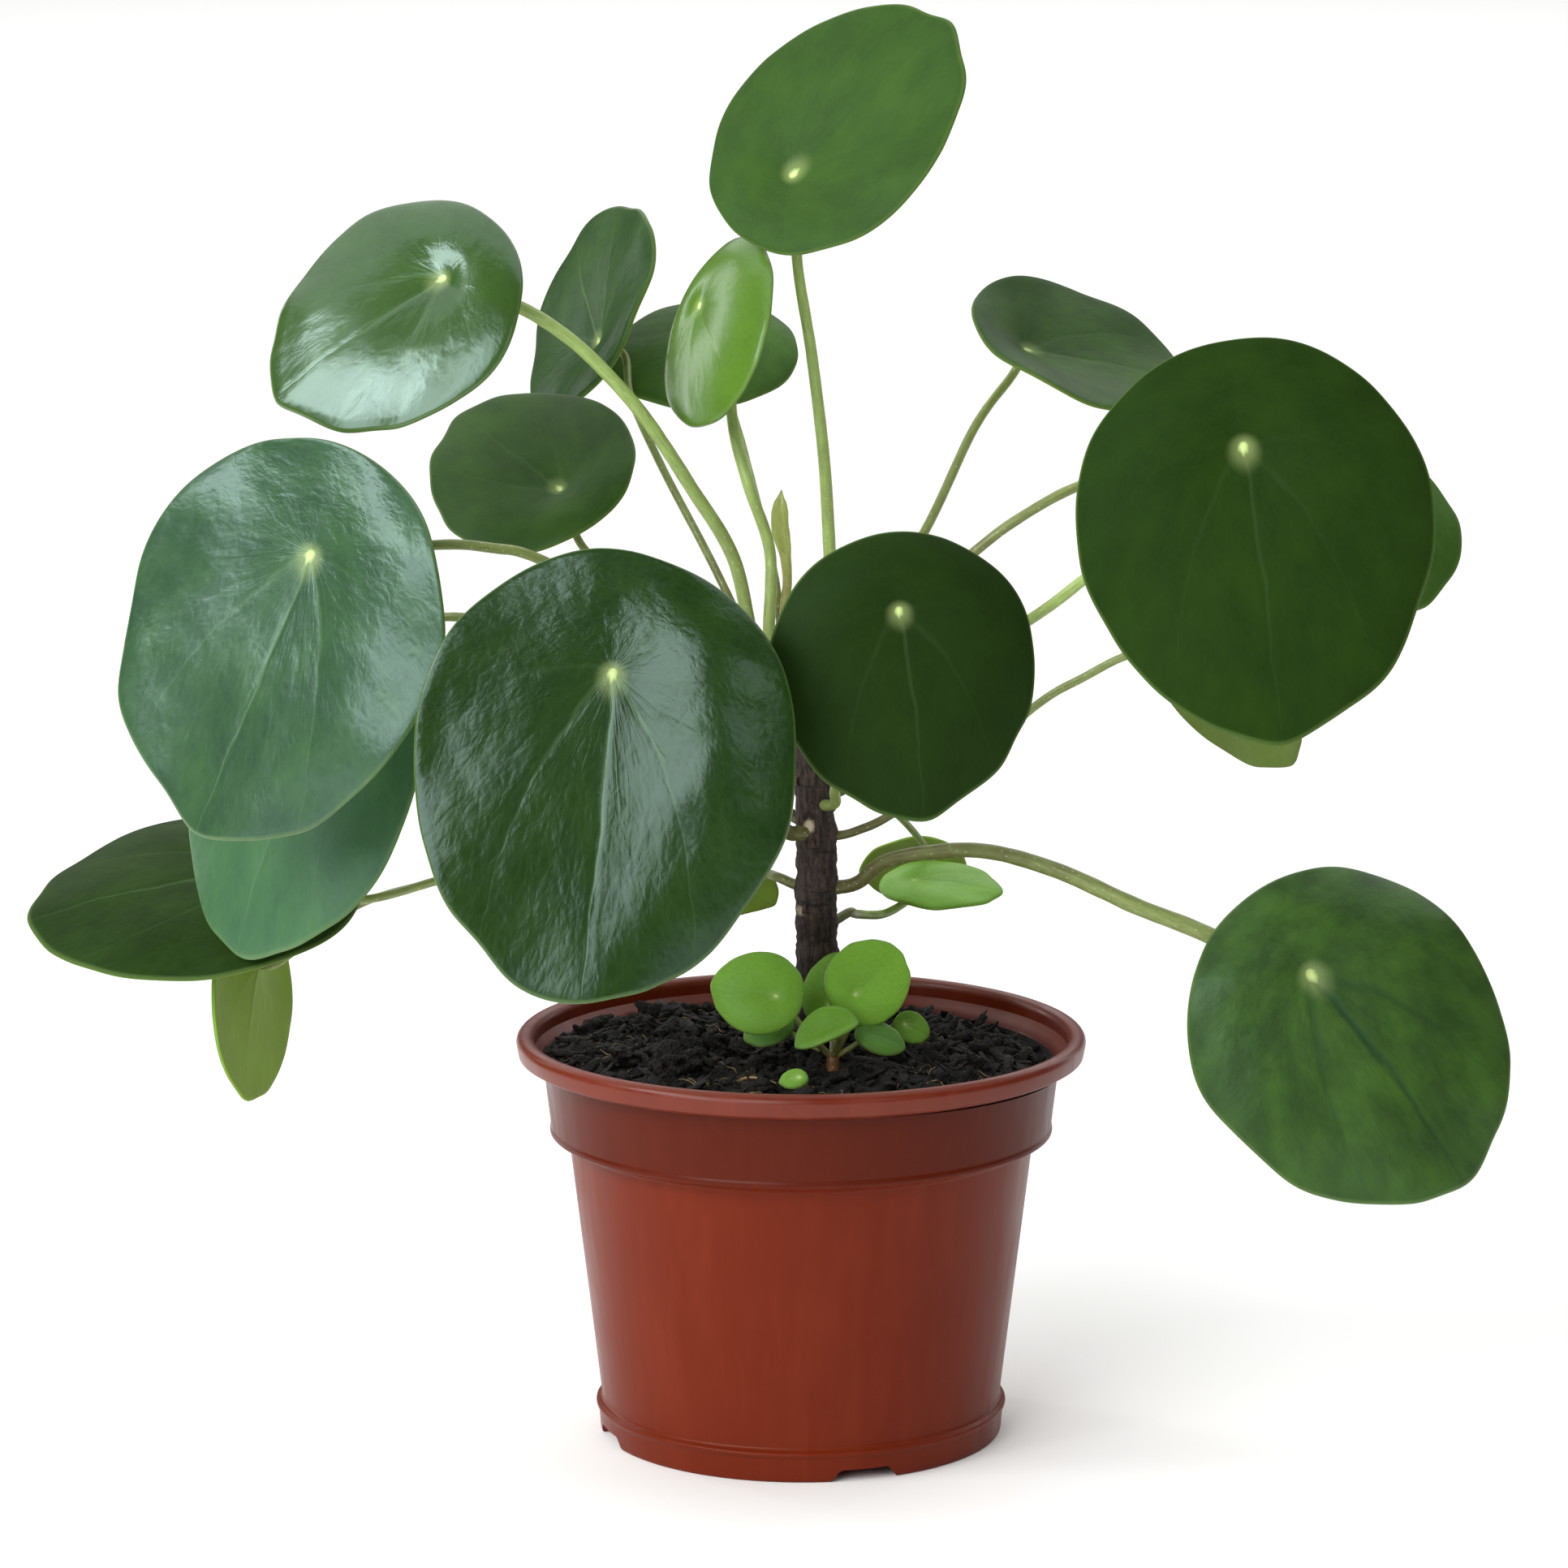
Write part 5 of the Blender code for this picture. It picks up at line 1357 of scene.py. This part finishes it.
class PLANT_OT_shoots(bpy.types.Operator):
    """Make the small shoots at the trunk's foot"""
    bl_idname = "plant.shoots"
    bl_label = "Shoots"

    def execute(self, context):
        settings = context.scene.plant_stalks
        for shoot in SHOOTS:
            foot = Vector((*shoot.root, SOIL_LEVEL - SHOOT_HOLE_DEPTH + CLEARANCE))
            top = Vector((*shoot.root, SOIL_LEVEL + SOIL_MOUND + shoot.crown_height))
            crown = smooth_route([foot, foot.lerp(top, 0.5), top], 0.7)
            width = shoot.crown_radius
            body = tube(crown, lambda share: width * (1 - 0.35 * share) * min(1.0, (1.05 - share) * 8), 20)
            materials = [stalk_skin("Shoot crown skin", linear("#5A3320"), linear("#7A5530")),
                         stalk_skin("Shoot stalk skin", linear("#7A6A38"), settings.young)]
            for leaf in shoot.leaves:
                add_to(body, stalk_solid(leaf, [top - 1.4 * UP, *leaf.route], 0.3, 0.7), 1)
                blade = blade_solid(leaf, leaf_look(leaf))
                for face in blade.faces:
                    face.material_index += len(materials)
                add_to(body, blade)
                materials += [leaf_upper(leaf), leaf_under(leaf)]
            finish_piece(shoot.name + "_leaves", body, materials, [shoot.name])
        return {"FINISHED"}


def area_light(name, place, target, width, height, radiance):
    """A soft rectangular light that faces a point. Its power follows from how bright it looks."""
    lamp = bpy.data.lights.new(name, "AREA")
    lamp.shape = "RECTANGLE"
    lamp.size = width
    lamp.size_y = height
    lamp.energy = radiance * math.pi * width * height
    thing = bpy.data.objects.new(name, lamp)
    thing.location = place
    thing.rotation_euler = (Vector(target) - Vector(place)).to_track_quat("-Z", "Y").to_euler()
    bpy.context.collection.objects.link(thing)


def soft_light(name, bearing, elevation, distance, width, height, radiance):
    """A soft light round the plant, at a bearing and an elevation as seen from its middle."""
    middle = Vector((0.0, 0.0, 0.15))
    rise = math.radians(elevation)
    place = middle + distance * (math.cos(rise) * direction(bearing) + math.sin(rise) * UP)
    area_light(name, place, middle, width, height, radiance)


FLOOR_REACH = 12000.0
SKY_STRENGTH = 0.11


class PLANT_OT_stage(bpy.types.Operator):
    """Make the pale floor, the soft studio light and the photo's camera"""
    bl_idname = "plant.stage"
    bl_label = "Stage"

    def execute(self, context):
        settings = context.scene.plant_stage
        bm = bmesh.new()
        bmesh.ops.create_grid(bm, x_segments=2, y_segments=2, size=FLOOR_REACH)
        floor = new_object("studio_floor", bm)
        paper = new_material("Matt paper studio_floor", settings.paper, 0.9, Specular_IOR_Level=0.1)[0]
        floor.data.materials.append(paper)
        context.collection.objects.link(floor)

        world = bpy.data.worlds.new("Studio")
        world.use_nodes = True
        sky = world.node_tree.nodes["Background"].inputs
        sky["Color"].default_value = (1.0, 1.0, 1.0, 1.0)
        sky["Strength"].default_value = SKY_STRENGTH
        context.scene.world = world

        soft_light("window", 233, 24, 1.5, 0.74, 0.8, settings.window)
        soft_light("window_edge", 254, 24, 1.5, 0.36, 0.8, 0.8 * settings.window)
        soft_light("high_window", 207, 34, 1.5, 0.75, 0.4, 1.6 * settings.window)
        soft_light("side_window", 299, 27, 1.6, 0.5, 0.5, 0.3 * settings.window)
        soft_light("left_strip", 142, 12, 1.2, 0.12, 0.8, 7.0)
        soft_light("right_strip", 48, 12, 1.2, 0.05, 0.8, 7.0)
        area_light("ceiling", (0.0, 4.0, 3.0), (0.0, 4.0, 0.0), 7.0, 9.5, settings.ceiling)

        camera = bpy.data.objects.new("camera", bpy.data.cameras.new("camera"))
        camera.data.sensor_width = 36.0
        camera.data.lens = settings.focal_length
        camera.location = settings.camera_place
        camera.rotation_euler = (math.radians(90) - settings.camera_pitch, 0.0, 0.0)
        context.collection.objects.link(camera)
        context.scene.camera = camera
        context.scene.view_settings.view_transform = "Standard"
        return {"FINISHED"}


class PLANT_PT_panel(bpy.types.Panel):
    """The plant's operators and settings"""
    bl_label = "Plant"
    bl_idname = "PLANT_PT_panel"
    bl_space_type = "VIEW_3D"
    bl_region_type = "UI"
    bl_category = "Plant"

    def draw(self, context):
        for operator in OPERATORS:
            self.layout.operator(operator.bl_idname)
        for group in SETTINGS:
            settings = getattr(context.scene, group)
            for name in settings.bl_rna.properties.keys():
                if name not in ("rna_type", "name"):
                    self.layout.prop(settings, name)


SETTINGS = {
    "plant_leaves": LeafSettings,
    "plant_stalks": StalkSettings,
    "plant_trunk": TrunkSettings,
    "plant_soil": SoilSettings,
    "plant_pot": PotSettings,
    "plant_stage": StageSettings,
}
OPERATORS = (PLANT_OT_pot, PLANT_OT_soil, PLANT_OT_trunk, PLANT_OT_stalks, PLANT_OT_leaves, PLANT_OT_shoots,
             PLANT_OT_stage)


def register():
    """Registers the settings, the operators and the panel."""
    for name, group in SETTINGS.items():
        bpy.utils.register_class(group)
        setattr(bpy.types.Scene, name, PointerProperty(type=group))
    for item in (*OPERATORS, PLANT_PT_panel):
        bpy.utils.register_class(item)


def unregister():
    """Takes the settings, the operators and the panel away again."""
    for item in (PLANT_PT_panel, *reversed(OPERATORS)):
        bpy.utils.unregister_class(item)
    for name, group in SETTINGS.items():
        delattr(bpy.types.Scene, name)
        bpy.utils.unregister_class(group)


def main():
    """Makes every piece and the stage."""
    register()
    bpy.ops.plant.pot()
    bpy.ops.plant.soil()
    bpy.ops.plant.trunk()
    bpy.ops.plant.stalks()
    bpy.ops.plant.leaves()
    bpy.ops.plant.shoots()
    bpy.ops.plant.stage()
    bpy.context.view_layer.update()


if __name__ == "__main__":
    main()
